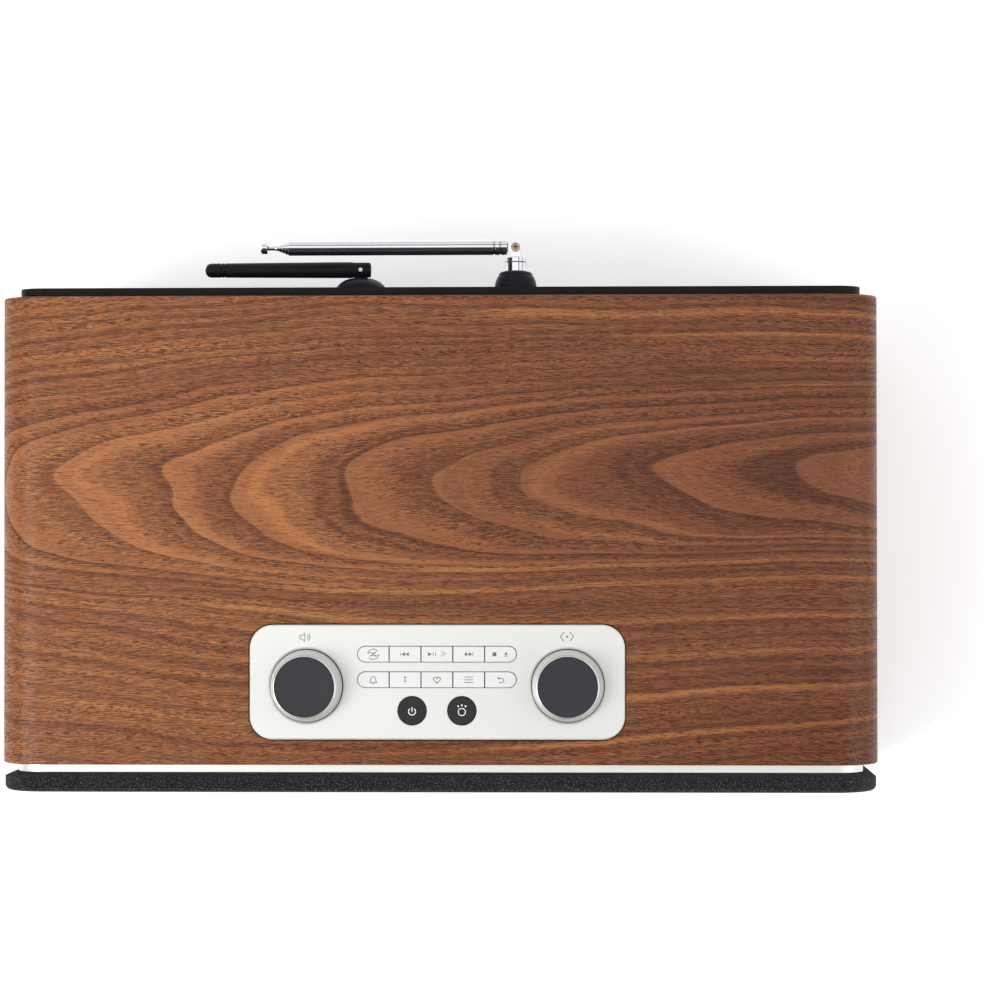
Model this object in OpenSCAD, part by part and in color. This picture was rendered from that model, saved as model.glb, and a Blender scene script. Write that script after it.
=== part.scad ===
// Tabletop all-in-one radio: wooden sleeve, cloth-covered front, control plate on top,
// telescopic aerial and hinged network aerial on the back. Millimetres, +Z up, front towards -Y.
// The origin is on the table, under the middle of the overall box.

/* [Cabinet] */
// Width of the wooden sleeve
cabinet_w = 420; // [400:1:460]
// Height of the wooden sleeve, without the feet
cabinet_h = 142; // [138:1:160]
// Depth of the wooden sleeve
cabinet_d = 223; // [215:1:260]
// Outer radius of the sleeve's four long corners
corner_r = 20; // [18:1:24]
// Thickness of the sleeve's walls
wall = 12; // [10:0.5:14]
// Height of the rubber feet
foot_h = 6; // [5:0.5:10]
// Radius of a rubber foot
foot_r = 11; // [8:0.5:12]

/* [Front] */
// Depth of the cloth-covered front
grille_t = 9; // [8.5:0.5:12]
// How much the front is smaller than the sleeve, on each side
grille_inset = 0.7; // [0.5:0.1:2]
// Thickness of the grille cloth
cloth_t = 1; // [0.8:0.1:1.5]
// Depth of the metal trim between the front and the sleeve
trim_t = 4; // [4:0.5:6]
// How far the trim is set in from the sleeve's outside
trim_inset = 7; // [6:0.5:8]
// Thickness of the baffle that carries the loudspeakers
baffle_t = 12; // [10:0.5:14]
// Width of the display and disc surround
fascia_w = 140; // [136:1:141]
// Height of the display and disc surround
fascia_h = 100; // [96:1:104]
// Sideways place of each woofer
woofer_x = 142; // [140:1:143]
// Sideways place of each tweeter
tweeter_x = 88; // [88:0.5:89]

/* [Back] */
// How far the back panel stands behind the sleeve
back_t = 4.5; // [4:0.5:6]
// How far the back panel is set in from the sleeve's outside
back_inset = 8; // [7:0.5:9]
// Inner radius of a bass port
port_r = 17; // [14:0.5:18]
// Length of a bass port
port_l = 70; // [50:1:90]

/* [Controls] */
// Width of the control plate
plate_w = 178; // [176:1:180]
// Depth of the control plate
plate_d = 54.4; // [54:0.2:56]
// Corner radius of the control plate
plate_r = 11; // [9:0.5:14]
// How far the control plate's middle is behind the sleeve's front edge
plate_y = 39.3; // [39.3:0.1:60]
// Sideways place of each knob
knob_x = 62; // [61:0.5:64]
// Radius of a knob at its foot
knob_r = 17.1; // [16.5:0.1:17.2]
// Height of a knob above the plate
knob_h = 12; // [10:0.5:16]
// Distance from one key to the next in a row
key_pitch = 15.1; // [14.6:0.1:15.2]
// Depth of a key, front to back
key_d = 7.2; // [6:0.1:7.6]
// Travel of a key
key_travel = 0.8; // [0.4:0.1:0.8]
// Radius of the two round buttons
round_key_r = 6.7; // [5.5:0.1:6.7]

/* [Aerials] */
// Sideways place of the telescopic aerial
aerial_x = 37; // [30:0.1:60]
// Height of the telescopic aerial above the sleeve's foot
aerial_up = 121; // [119:0.5:122]
// How far the telescopic aerial's axis is behind the back panel
aerial_off = 20; // [19.5:0.5:24]
// Outer radius of the widest telescopic tube
tube_r = 3.6; // [3.4:0.1:3.8]
// Distance from the aerial's pivot to the end of its widest tube
tube_l = 109.7; // [100:0.1:118]
// Sideways place of the network aerial
wifi_x = -38.6; // [-60:0.1:-30]
// Height of the network aerial above the sleeve's foot
wifi_up = 109; // [100:0.5:109]
// Length of the network aerial from its pivot to its tip
wifi_l = 76; // [60:1:90]

/* [Hidden] */
$fn = 64;
over = 1;   // how far a cutter reaches past the face that it cuts

// Places along Y, from the front backwards
total_d = grille_t + trim_t + cabinet_d + back_t + aerial_off + tube_r;
front_y = -total_d / 2;
trim_y = front_y + grille_t;
wood_y = trim_y + trim_t;
wood_back_y = wood_y + cabinet_d;
panel_y = wood_back_y + back_t;
aerial_y = panel_y + aerial_off;
baffle_back_y = wood_y + baffle_t;

// Places along Z
mid_z = foot_h + cabinet_h / 2;
top_z = foot_h + cabinet_h;
floor_z = foot_h + wall;
ceiling_z = top_z - wall;
aerial_z = foot_h + aerial_up;
wifi_z = foot_h + wifi_up;

// The sleeve's inside
inner_w = cabinet_w - 2 * wall;
inner_h = cabinet_h - 2 * wall;
inner_r = corner_r - wall;
batten = 12;    // width and depth of the batten round the back opening
fit_gap = 0.3;  // clearance of a board or panel in its opening

// Screws
screw_r = 1.6;
pilot_r = screw_r + 0.05;
clear_r = screw_r + 0.3;
back_screw_x = inner_w / 2 - batten / 2;
back_screw_inner_x = 100;
back_screw_dz = inner_h / 2 - batten / 2;
back_screws = [for (x = [-back_screw_x, -back_screw_inner_x, back_screw_inner_x, back_screw_x],
    z = [-back_screw_dz, back_screw_dz]) [x, mid_z + z]];
screw_head_r = 3.3;
screw_head_t = 2;
foot_x = cabinet_w / 2 - 32;
foot_y = cabinet_d / 2 - 28;
foot_mid_y = (wood_y + wood_back_y) / 2;
foot_spots = [for (x = [-foot_x, foot_x], y = [-foot_y, foot_y]) [x, foot_mid_y + y]];

// Loudspeakers. Depths are measured from the baffle's front face into the cabinet.
woofer_z = mid_z;
tweeter_z = mid_z + 41;
flange_t = 2;
woofer_r = 46;
basket_r = 39.3;
cone_r = 33;
cone_travel = 3;
magnet_depth = 28;
driver_screw_r = 42.4;
tweeter_r = 14;
tweeter_body_r = 11.2;

// Pegs that hold the grille frame
peg_x = inner_w / 2 - 11;
peg_dz = inner_h / 2 - 10;
window_w = peg_x - fascia_w / 2 - 13;
window_h = 2 * peg_dz - 12;
window_x = fascia_w / 2 + 9 + window_w / 2;
peg_r = 2.5;

// Display and disc slot
display_z = mid_z + 14;
lens_w = 86;
lens_h = 54;
lens_t = 1.5;
slot_w = 124;
slot_h = 5.4;
slot_z = mid_z - 32;
fascia_y = front_y + 0.5;
fascia_r = 9;

// Controls
control_y = wood_y + plate_y;
plate_gap = 0.5;
slot_gap = 0.3;     // gap between a key and its slot
plate_t = 2;
plate_proud = 0.6;
plate_top_z = top_z + plate_proud;
frame_top_z = plate_top_z - plate_t;
frame_floor_z = ceiling_z + 2;
frame_foot_z = ceiling_z - 2;
board_t = 1.6;
board_z = frame_foot_z - 2 - board_t;
key_gap = 0.5;
key_w = key_pitch - key_gap;
key_proud = 0.6;
key_skirt = 1;      // how far a key's skirt reaches under the plate, front and back
key_floor = 3;      // height of a key's underside above the frame's floor
key_row_y = [13.3, 1.2];    // middle of each row, from the plate's middle
round_key_x = 11.8;
round_key_y = -13.5;
knob_y = -1.7;
knob_well = 0.4;    // gap round a knob's foot
encoder_h = 6;
shaft_r = 3;
bush_r = 4.5;
run_gap = 0.05;     // radial clearance of a turning or sliding fit
knob_foot_z = plate_top_z - 1.4;
knob_top_z = plate_top_z + knob_h;
knob_top_r = knob_r - 2.1;
cap_r = knob_top_r - 0.75;
cap_t = 1.4;
shaft_top_z = knob_top_z - 5;
shaft_foot_z = board_z + board_t + 2.4;
plunger_t = 1.2;

// Ports and sockets on the back
port_x = 150;
socket_z = floor_z + 24;
inlet_x = -60;
inlet_w = 22;
inlet_h = 14;
jack_x = [12, 32];
jack_nose_r = 4;
jack_r = 1.8;
jack_l = 14;
usb_x = 58;
usb_w = 15;
usb_h = 8;

// Telescopic aerial. Lengths are measured from its pivot.
boot_h = 8.2;
collar_r = 5.2;
collar_y = panel_y + boot_h + 0.3;
collar_end_y = panel_y + 14.8;
spindle_r = 2.5;
ear_r = 2.2;
ear_gap = 2.2;
ear_t = 1.4;
tongue_t = 2;
pivot_r = 1;
tube_wall = 0.5;
tube_step = 0.6;    // how much narrower each tube is than the one outside it
tube_foot = 4;      // from the pivot to the foot of the widest tube
tip_step = 1.5;     // how far each tube shows past the one outside it
neck_r = 1;
tip_r = 2.75;
tip_t = 3.2;
neck_l = 4;

// Network aerial
wifi_off = 10.5;    // its axis behind the back panel
wifi_y = panel_y + wifi_off;
wifi_root_r = 3.9;
wifi_tip_r = 3.45;
wifi_heel = 4.8;    // from the pivot to the stick's square end
dome_r = 12.2;
dome_h = 6.9;
dome_flat_h = 6.5;
wifi_tongue_t = 3;
wifi_fork_gap = 3.4;
wifi_tongue_r = 3.2;

// ---- Shapes that repeat ----

module rounded(w, h, r) {
    square([w - 2 * r, h], center = true);
    square([w, h - 2 * r], center = true);
    for (x = [-1, 1], y = [-1, 1])
        translate([x * (w / 2 - r), y * (h / 2 - r)]) circle(r);
}

// A rounded plate that stands up, from y_front to y_back, about the point (x, z)
module standing(w, h, r, y_front, y_back, x = 0, z = mid_z) {
    translate([x, y_back, z]) rotate([90, 0, 0])
        linear_extrude(y_back - y_front) rounded(w, h, r);
}

// A rounded plate that lies flat, from z_low to z_high, about the point (x, y)
module lying(w, d, r, z_low, z_high, x = 0, y = control_y) {
    translate([x, y, z_low]) linear_extrude(z_high - z_low) rounded(w, d, r);
}

// Turns children so that their +Z runs backwards along +Y from the point (x, y, z)
module backwards(x, y, z) {
    translate([x, y, z]) rotate([-90, 0, 0]) children();
}

// Turns children so that their +Z runs to the left, along -X
module leftwards(x, y, z) {
    translate([x, y, z]) rotate([0, -90, 0]) children();
}

// A cross-head screw along +Z: its head is below z = 0 and its shank above
module screw(shank_l, head_r = screw_head_r, head_t = screw_head_t, r = screw_r) {
    difference() {
        union() {
            translate([0, 0, -head_t]) cylinder(r = head_r, h = head_t);
            translate([0, 0, -0.2]) cylinder(r = r, h = shank_l + 0.2);
        }
        for (a = [0, 90])
            rotate(a) translate([-head_r * 0.55, -head_r * 0.12, -head_t - over])
                cube([head_r * 1.1, head_r * 0.24, over + head_t * 0.55]);
    }
}

module box_at(x, y, z, w, d, h) {
    translate([x - w / 2, y - d / 2, z]) cube([w, d, h]);
}

// ---- Cabinet ----

module wood_cabinet() {
    color("#8f5f40") difference() {
        standing(cabinet_w, cabinet_h, corner_r, wood_y, wood_back_y);
        standing(inner_w, inner_h, inner_r, wood_y - over, wood_back_y - batten);
        standing(inner_w - 2 * batten, inner_h - 2 * batten, inner_r,
            wood_back_y - batten - over, wood_back_y + over);
        lying(plate_w + 2 * plate_gap, plate_d + 2 * plate_gap, plate_r + plate_gap,
            ceiling_z - over, top_z + over);
        backwards(aerial_x, wood_back_y - batten - over, aerial_z)
            cylinder(r = 8, h = batten + 2 * over);
        for (p = back_screws)
            backwards(p[0], wood_back_y - batten + 1, p[1])
                cylinder(r = pilot_r, h = batten, $fn = 24);
        for (p = foot_spots)
            translate([p[0], p[1], foot_h - over]) cylinder(r = pilot_r, h = over + 9, $fn = 24);
    }
}

module back_panel() {
    vents = 9;
    vent_pitch = 6;
    color("#1c1d1f") difference() {
        standing(cabinet_w - 2 * back_inset, cabinet_h - 2 * back_inset, corner_r - back_inset,
            wood_back_y, panel_y);
        for (p = back_screws) {
            backwards(p[0], wood_back_y - over, p[1])
                cylinder(r = clear_r, h = back_t + 2 * over, $fn = 24);
            backwards(p[0], panel_y - screw_head_t - 0.2, p[1])
                cylinder(r = screw_head_r + 0.4, h = screw_head_t + over);
        }
        for (x = [-port_x, port_x])
            backwards(x, wood_back_y - over, mid_z) cylinder(r = port_r + 2.2, h = back_t + 2 * over);
        backwards(aerial_x, wood_back_y - over, aerial_z)
            cylinder(r = spindle_r + run_gap, h = back_t + 2 * over);
        backwards(wifi_x, wood_back_y - over, wifi_z)
            cylinder(r = spindle_r + run_gap, h = back_t + 2 * over);
        standing(inlet_w + fit_gap, inlet_h + fit_gap, 2, wood_back_y - over, panel_y + over,
            inlet_x, socket_z);
        for (x = jack_x)
            backwards(x, wood_back_y - over, socket_z)
                cylinder(r = jack_nose_r + 0.15, h = back_t + 2 * over);
        standing(usb_w + fit_gap, usb_h + fit_gap, 0.5, wood_back_y - over, panel_y + over,
            usb_x, socket_z);
        for (i = [0 : vents - 1])
            standing(2, 22, 0.9, wood_back_y - over, panel_y + over,
                (i - (vents - 1) / 2) * vent_pitch, mid_z + 8);
    }
}

module case_screws() {
    color("#2b2b2d") {
        for (p = back_screws)
            translate([p[0], panel_y - screw_head_t - 0.2, p[1]]) rotate([90, 0, 0]) screw(13);
        for (p = foot_spots)
            translate([p[0], p[1], foot_h - 2]) screw(10);
        for (side = [-1, 1], a = [45 : 90 : 315])
            backwards(side * woofer_x + driver_screw_r * cos(a), wood_y - flange_t,
                woofer_z + driver_screw_r * sin(a)) screw(10, 2.6, 1.5);
    }
}

module feet() {
    color("#202123") for (p = foot_spots)
        translate([p[0], p[1], 0]) difference() {
            union() {
                cylinder(r1 = foot_r - 1, r2 = foot_r, h = 1.5);
                translate([0, 0, 1.5]) cylinder(r = foot_r, h = foot_h - 1.5);
            }
            translate([0, 0, -over]) cylinder(r = screw_head_r + 0.7, h = over + foot_h - 2);
            cylinder(r = clear_r, h = foot_h + over, $fn = 24);
        }
}

module inner_dividers() {
    divider_x = 98;
    divider_t = 4;
    color("#a98c66") for (side = [-1, 1])
        translate([side * divider_x - divider_t / 2, baffle_back_y, floor_z])
            cube([divider_t, wood_back_y - batten - baffle_back_y, inner_h]);
}

// ---- Front ----

module front_trim() {
    rim = 8;
    color("#d9d9d6") difference() {
        standing(cabinet_w - 2 * trim_inset, cabinet_h - 2 * trim_inset, corner_r - trim_inset,
            trim_y, wood_y);
        standing(cabinet_w - 2 * trim_inset - 2 * rim, cabinet_h - 2 * trim_inset - 2 * rim, 6,
            trim_y - over, wood_y + over);
    }
}

module front_baffle() {
    color("#26241f") difference() {
        standing(inner_w - 2 * fit_gap, inner_h - 2 * fit_gap, inner_r - fit_gap,
            wood_y, baffle_back_y);
        for (side = [-1, 1]) {
            backwards(side * woofer_x, wood_y - over, woofer_z)
                cylinder(r = basket_r + 0.2, h = baffle_t + 2 * over);
            backwards(side * tweeter_x, wood_y - over, tweeter_z)
                cylinder(r = tweeter_body_r + 0.2, h = baffle_t + 2 * over);
            for (a = [45 : 90 : 315])
                backwards(side * woofer_x + driver_screw_r * cos(a), wood_y - over,
                    woofer_z + driver_screw_r * sin(a))
                    cylinder(r = pilot_r, h = over + 9, $fn = 24);
            for (s = [-1, 1])
                backwards(side * peg_x, wood_y - over, mid_z + s * peg_dz)
                    cylinder(r = peg_r + 0.1, h = over + 9);
        }
        standing(lens_w, lens_h, 3, wood_y - over, baffle_back_y + over, 0, display_z);
        standing(slot_w + 4, slot_h + 4, 3, wood_y - over, baffle_back_y + over, 0, slot_z);
    }
}

module grille_frame() {
    face_y = front_y + cloth_t;
    step_y = trim_y - 3;
    rim = grille_inset + cloth_t;
    color("#141416") difference() {
        union() {
            standing(cabinet_w - 2 * rim - 3.4, cabinet_h - 2 * rim - 3.4, corner_r - rim - 1.5,
                face_y + 0.1, face_y + 1.8);
            standing(cabinet_w - 2 * rim - 0.4, cabinet_h - 2 * rim - 0.4, corner_r - rim,
                face_y + 1.6, step_y - 0.2);
            standing(cabinet_w - 2 * trim_inset - 3, cabinet_h - 2 * trim_inset - 3, 11,
                step_y - 0.3, trim_y);
            for (x = [-peg_x, peg_x], s = [-1, 1])
                backwards(x, trim_y - 1, mid_z + s * peg_dz) cylinder(r = peg_r, h = 1 + trim_t + 8);
        }
        for (side = [-1, 1]) {
            standing(window_w, window_h, 2, front_y - over, trim_y + over, side * window_x);
            standing(24, 24, 2, front_y - over, trim_y + over, side * tweeter_x, tweeter_z);
        }
        standing(fascia_w + 0.6, fascia_h + 0.6, fascia_r + 0.3, front_y - over, trim_y + 0.5);
    }
}

// The cloth's outer shape, drawn in by d: full size in front, tapering to the trim behind
module cloth_shape(d, back_more = 0) {
    rim = grille_inset + d;
    bevel_y = trim_y - 2.6;
    hull() {
        standing(cabinet_w - 2 * rim - 3, cabinet_h - 2 * rim - 3, corner_r - rim - 1.5,
            front_y + d, front_y + d + 1, $fn = 32);
        standing(cabinet_w - 2 * rim, cabinet_h - 2 * rim, corner_r - rim,
            front_y + d + 1.5, bevel_y, $fn = 32);
        standing(cabinet_w - 2 * trim_inset - 2 * d, cabinet_h - 2 * trim_inset - 2 * d,
            corner_r - trim_inset - d, trim_y - 0.5, trim_y + back_more, $fn = 32);
    }
}

module grille_cloth() {
    color("#1d1e22") difference() {
        cloth_shape(0);
        cloth_shape(cloth_t, over);
        standing(fascia_w + 0.4, fascia_h + 0.4, fascia_r + 0.2, front_y - over, trim_y - 2);
    }
}

module fascia() {
    color("#0e0e10") difference() {
        union() {
            standing(fascia_w, fascia_h, fascia_r, fascia_y, trim_y + 0.2);
            standing(fascia_w + 4, fascia_h + 4, fascia_r, trim_y + 0.1, wood_y);
        }
        standing(lens_w, lens_h, 4, fascia_y - over, fascia_y + lens_t, 0, display_z);
        standing(lens_w - 8, lens_h - 8, 2, fascia_y, wood_y + over, 0, display_z);
        standing(lens_w, lens_h, 1, fascia_y + 3, wood_y + over, 0, display_z);
        standing(slot_w, slot_h, 2.6, fascia_y - over, wood_y + over, 0, slot_z);
    }
}

module display_lens() {
    color([0.06, 0.07, 0.08, 0.6])
        standing(lens_w - 0.2, lens_h - 0.2, 3.9, fascia_y, fascia_y + lens_t, 0, display_z);
}

module display_module() {
    color("#39424a") union() {
        standing(lens_w - 0.6, lens_h - 0.6, 0.7, fascia_y + 3, fascia_y + 8, 0, display_z);
        standing(30, 12, 1, fascia_y + 7.9, fascia_y + 11, 0, display_z - 12);
    }
}

module cd_drive() {
    drive_w = 146;
    drive_d = 150;
    drive_h = 30;
    tray_d = 134;
    drive_y = baffle_back_y + 0.5;
    color("#9da1a5") {
        difference() {
            box_at(0, drive_y + drive_d / 2, slot_z - 18, drive_w, drive_d, drive_h);
            box_at(0, drive_y + tray_d / 2 - over, slot_z - slot_h / 2, slot_w, tray_d + 2 * over,
                slot_h);
            translate([-slot_w / 2 + 2, drive_y + 5, slot_z - 12]) cube([slot_w - 4, 12, 12]);
        }
        for (x = [-drive_w / 2 + 6, drive_w / 2 - 6], y = [8, drive_d - 8])
            translate([x, drive_y + y, floor_z]) cylinder(r = 4, h = slot_z - 17 - floor_z);
        translate([-slot_w / 2 + 4, drive_y + 11, slot_z - slot_h / 2 - 4.2]) rotate([0, 90, 0])
            cylinder(r = 4, h = slot_w - 8);
    }
}

// ---- Loudspeakers ----

module woofer_baskets() {
    color("#2a2b2e") for (side = [-1, 1])
        backwards(side * woofer_x, wood_y, woofer_z) difference() {
            rotate_extrude() polygon([[37.9, -flange_t], [woofer_r, -flange_t], [woofer_r, 0],
                [basket_r, 0], [basket_r, 3], [31, 20], [31, magnet_depth], [13, magnet_depth],
                [13, magnet_depth - 2], [29, magnet_depth - 2], [29, 19.5], [37.3, 2.6],
                [37.3, 0], [37.9, 0]]);
            for (a = [0 : 60 : 300])
                rotate(a) translate([27, -8, 7]) cube([20, 16, 15]);
            for (a = [45 : 90 : 315])
                rotate(a) translate([driver_screw_r, 0, -flange_t - over])
                    cylinder(r = clear_r, h = flange_t + 2 * over, $fn = 24);
        }
}

module woofer_magnets() {
    d = magnet_depth;
    color("#55585c") for (side = [-1, 1])
        backwards(side * woofer_x, wood_y, woofer_z) rotate_extrude()
            polygon([[0, d - 0.5], [9.6, d - 0.5], [9.6, d + 16], [14, d + 16], [14, d + 4],
                [11.2, d + 4], [11.2, d], [26, d], [26, d + 4], [30, d + 4], [30, d + 16],
                [26, d + 16], [26, d + 21], [0, d + 21]]);
}

module woofer_suspensions() {
    roll_r = (37.9 + cone_r + 0.3) / 2;
    roll = (37.9 - cone_r - 0.3) / 2;
    skin = 0.5;
    spider_depth = 23;
    steps = 12;
    color("#1a1a1b") for (side = [-1, 1])
        backwards(side * woofer_x, wood_y, woofer_z) {
            rotate_extrude() polygon(concat(
                [for (i = [0 : steps]) [roll_r - roll * cos(i * 180 / steps),
                    -0.1 - roll * sin(i * 180 / steps)]],
                [for (i = [steps : -1 : 0]) [roll_r - (roll - skin) * cos(i * 180 / steps),
                    -(roll - skin) * sin(i * 180 / steps)]]));
            rotate_extrude() polygon(concat(
                [for (i = [0 : 18]) [11.1 + i * 17.85 / 18, spider_depth + 0.8 * cos(i * 120)]],
                [for (i = [18 : -1 : 0]) [11.1 + i * 17.85 / 18,
                    spider_depth + 0.5 + 0.8 * cos(i * 120)]]));
        }
}

module woofer_cone(side) {
    neck = 18;
    cap_drop = 3;
    steps = 8;
    color("#3b3b3d") backwards(side * woofer_x, wood_y, woofer_z) rotate_extrude()
        polygon(concat([[cone_r, 1.4], [cone_r, 2.4], [11.5, neck], [10.7, neck], [10.7, 36],
            [10.2, 36], [10.2, neck - 0.5]],
            [for (i = [0 : steps]) [10.2 * cos(i * 90 / steps),
                neck - 0.6 - cap_drop * sin(i * 90 / steps)]],
            [for (i = [steps : -1 : 0]) [11.2 * cos(i * 90 / steps),
                neck - 1.2 - cap_drop * sin(i * 90 / steps)]]));
}

module tweeters() {
    color("#2e2f33") for (side = [-1, 1])
        backwards(side * tweeter_x, wood_y, tweeter_z) rotate_extrude()
            polygon([[0, -1.9], [3, -1.6], [5.5, -0.9], [7, 0.2], [7.4, 0.4], [8.5, -0.6],
                [10, -flange_t], [tweeter_r, -flange_t], [tweeter_r, 0], [tweeter_body_r, 0],
                [tweeter_body_r, baffle_t - 0.5], [0, baffle_t - 0.5]]);
}

// ---- Electronics ----

module main_board() {
    board_y = baffle_back_y + 88;
    chips = [[-50, -40, 14, 14, 2], [-20, -42, 10, 10, 1.6], [10, -40, 20, 20, 2.4],
        [50, -36, 26, 18, 3], [-55, 0, 9, 9, 10], [-42, 0, 9, 9, 10], [52, 6, 16, 8, 9],
        [60, 34, 10, 24, 11], [-58, 36, 12, 30, 9]];
    color("#2f6b45") union() {
        box_at(0, board_y, mid_z - 13, 160, 130, board_t);
        for (c = chips)
            box_at(c[0], board_y + c[1], mid_z - 13 + board_t / 2, c[2], c[3], c[4]);
        for (x = [-66, 66], y = [-58, 52])
            translate([x, board_y + y, slot_z + 12]) cylinder(r = 3, h = mid_z - 12 - slot_z - 12);
    }
}

module heat_sink() {
    fins = 8;
    sink_w = 52;
    base_z = mid_z - 13 + board_t;
    sink_y = baffle_back_y + 120;
    color("#8c9094") union() {
        box_at(0, sink_y, base_z, sink_w, 34, 3);
        for (i = [0 : fins - 1])
            box_at((i - (fins - 1) / 2) * (sink_w - 2) / (fins - 1), sink_y, base_z + 2, 2, 34, 24);
    }
}

module power_supply() {
    supply_x = -48;
    supply_y = wood_back_y - 44;
    supply_z = floor_z + 4;
    color("#3c5f8a") union() {
        box_at(supply_x, supply_y, supply_z, 84, 26, board_t);
        for (x = [-36, 36], y = [-9, 9])
            translate([supply_x + x, supply_y + y, floor_z]) cylinder(r = 3, h = 4.5);
        box_at(supply_x + 6, supply_y, supply_z + 1, 30, 24, 22);
        for (x = [-30, -16])
            translate([supply_x + x, supply_y, supply_z + 1]) cylinder(r = 6, h = 21);
        box_at(supply_x + 33, supply_y, supply_z + 1, 10, 22, 18);
    }
}

// ---- Sockets and ports on the back ----

module bass_ports() {
    flare = 5;
    color("#1c1d1f") for (x = [-port_x, port_x])
        backwards(x, panel_y - port_l, mid_z) rotate_extrude()
            polygon(concat([[port_r, 0], [port_r + 2, 0], [port_r + 2, port_l],
                [port_r + flare + 2, port_l], [port_r + flare + 2, port_l + 1.5],
                [port_r + flare, port_l + 2]],
                [for (a = [0 : 15 : 90]) [port_r + flare - flare * sin(a),
                    port_l + 2 - flare + flare * cos(a)]]));
}

module mains_inlet() {
    recess_w = 17;
    recess_h = 9;
    recess_d = 10;
    pin_dx = 4.3;
    color("#121213") union() {
        difference() {
            union() {
                standing(inlet_w, inlet_h, 2, panel_y - 14, panel_y + 0.4, inlet_x, socket_z);
                standing(inlet_w + 6, inlet_h + 6, 3, wood_back_y - 3, wood_back_y, inlet_x,
                    socket_z);
            }
            standing(recess_w, recess_h, recess_h / 2 - 0.1, panel_y - recess_d, panel_y + over,
                inlet_x, socket_z);
        }
        for (x = [-pin_dx, pin_dx])
            backwards(inlet_x + x, panel_y - recess_d - 1, socket_z)
                cylinder(r = 1.2, h = recess_d, $fn = 24);
    }
}

module jack_sockets() {
    color("#161617") for (x = jack_x)
        difference() {
            union() {
                box_at(x, wood_back_y - 6, socket_z - 5, 10, 12, 10);
                backwards(x, wood_back_y - 1, socket_z) cylinder(r = jack_nose_r, h = back_t + 1);
            }
            backwards(x, panel_y - jack_l, socket_z) cylinder(r = jack_r, h = jack_l + over);
        }
}

module usb_socket() {
    usb_l = 15;
    shell = 0.7;
    color("#b9bcc0") union() {
        difference() {
            union() {
                standing(usb_w, usb_h, 0.5, panel_y - usb_l, panel_y, usb_x, socket_z);
                standing(usb_w + 4, usb_h + 4, 0.5, wood_back_y - 1, wood_back_y, usb_x, socket_z);
            }
            standing(usb_w - 2 * shell, usb_h - 2 * shell, 0.3, panel_y - usb_l + 1.5,
                panel_y + over, usb_x, socket_z);
        }
        translate([usb_x - 5.6, panel_y - usb_l + 1, socket_z + 0.9]) cube([11.2, usb_l - 2, 1.9]);
    }
}

// ---- Control plate, keys and knobs ----

// Outline of a whole row of keys, grown by g
module key_row(row, z_low, z_high, g, more_d = 0) {
    length = 5 * key_pitch - key_gap + 2 * g;
    depth = key_d + 2 * g + 2 * more_d;
    lying(length, depth, more_d > 0 ? 1.5 : depth / 2 - 0.01, z_low, z_high, 0,
        control_y + key_row_y[row]);
}

module control_plate() {
    well_r = knob_r + knob_well;
    rim = 1.1;
    color("#dcdcd8") difference() {
        union() {
            lying(plate_w, plate_d, plate_r, frame_top_z, plate_top_z - 0.5);
            lying(plate_w - 0.5, plate_d - 0.5, plate_r - 0.25, plate_top_z - 0.6, plate_top_z - 0.2);
            lying(plate_w - 1, plate_d - 1, plate_r - 0.5, plate_top_z - 0.3, plate_top_z);
        }
        for (row = [0, 1])
            key_row(row, frame_top_z - over, plate_top_z + over, slot_gap);
        for (x = [-round_key_x, round_key_x])
            translate([x, control_y + round_key_y, frame_top_z - over])
                cylinder(r = round_key_r + slot_gap, h = plate_t + 2 * over);
        for (x = [-knob_x, knob_x])
            translate([x, control_y + knob_y, 0]) {
                translate([0, 0, frame_top_z - over]) cylinder(r = well_r, h = plate_t + 2 * over);
                translate([0, 0, plate_top_z - 0.5])
                    cylinder(r1 = well_r, r2 = well_r + rim, h = 0.6);
            }
    }
}

module button_frame() {
    ledge = 4;
    floor_t = 1.5;
    color("#1a1a1c") difference() {
        union() {
            lying(plate_w - 0.4, plate_d - 0.4, plate_r - 0.2, frame_floor_z - 1, frame_top_z);
            lying(plate_w - 4, plate_d - 2, plate_r, frame_foot_z, frame_floor_z);
            translate([-plate_w / 2 - ledge, control_y - plate_d / 2 + 1, frame_foot_z])
                cube([plate_w + 2 * ledge, plate_d - 1 + ledge, ceiling_z - frame_foot_z]);
        }
        // the hollow underneath, over the switches
        lying(plate_w - 8, plate_d - 6, plate_r - 3, frame_foot_z - over, frame_floor_z);
        for (row = [0, 1])
            key_row(row, frame_floor_z + floor_t, frame_top_z + over, slot_gap, key_skirt + 0.1);
        for (row = [0, 1], col = [0 : 4])
            translate([(col - 2) * key_pitch, control_y + key_row_y[row], frame_floor_z - over])
                cylinder(r = 1.9, h = floor_t + 2 * over, $fn = 24);
        for (x = [-round_key_x, round_key_x]) translate([x, control_y + round_key_y, 0]) {
            translate([0, 0, frame_floor_z + floor_t])
                cylinder(r = round_key_r + key_skirt + slot_gap, h = 10);
            translate([0, 0, frame_floor_z - over]) cylinder(r = 1.9, h = floor_t + 2 * over, $fn = 24);
        }
        for (x = [-knob_x, knob_x]) translate([x, control_y + knob_y, 0]) {
            translate([0, 0, frame_top_z - 2]) cylinder(r = knob_r + knob_well + 0.2, h = 3);
            translate([0, 0, frame_floor_z - over]) cylinder(r = 10, h = 20);
        }
    }
}

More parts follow.
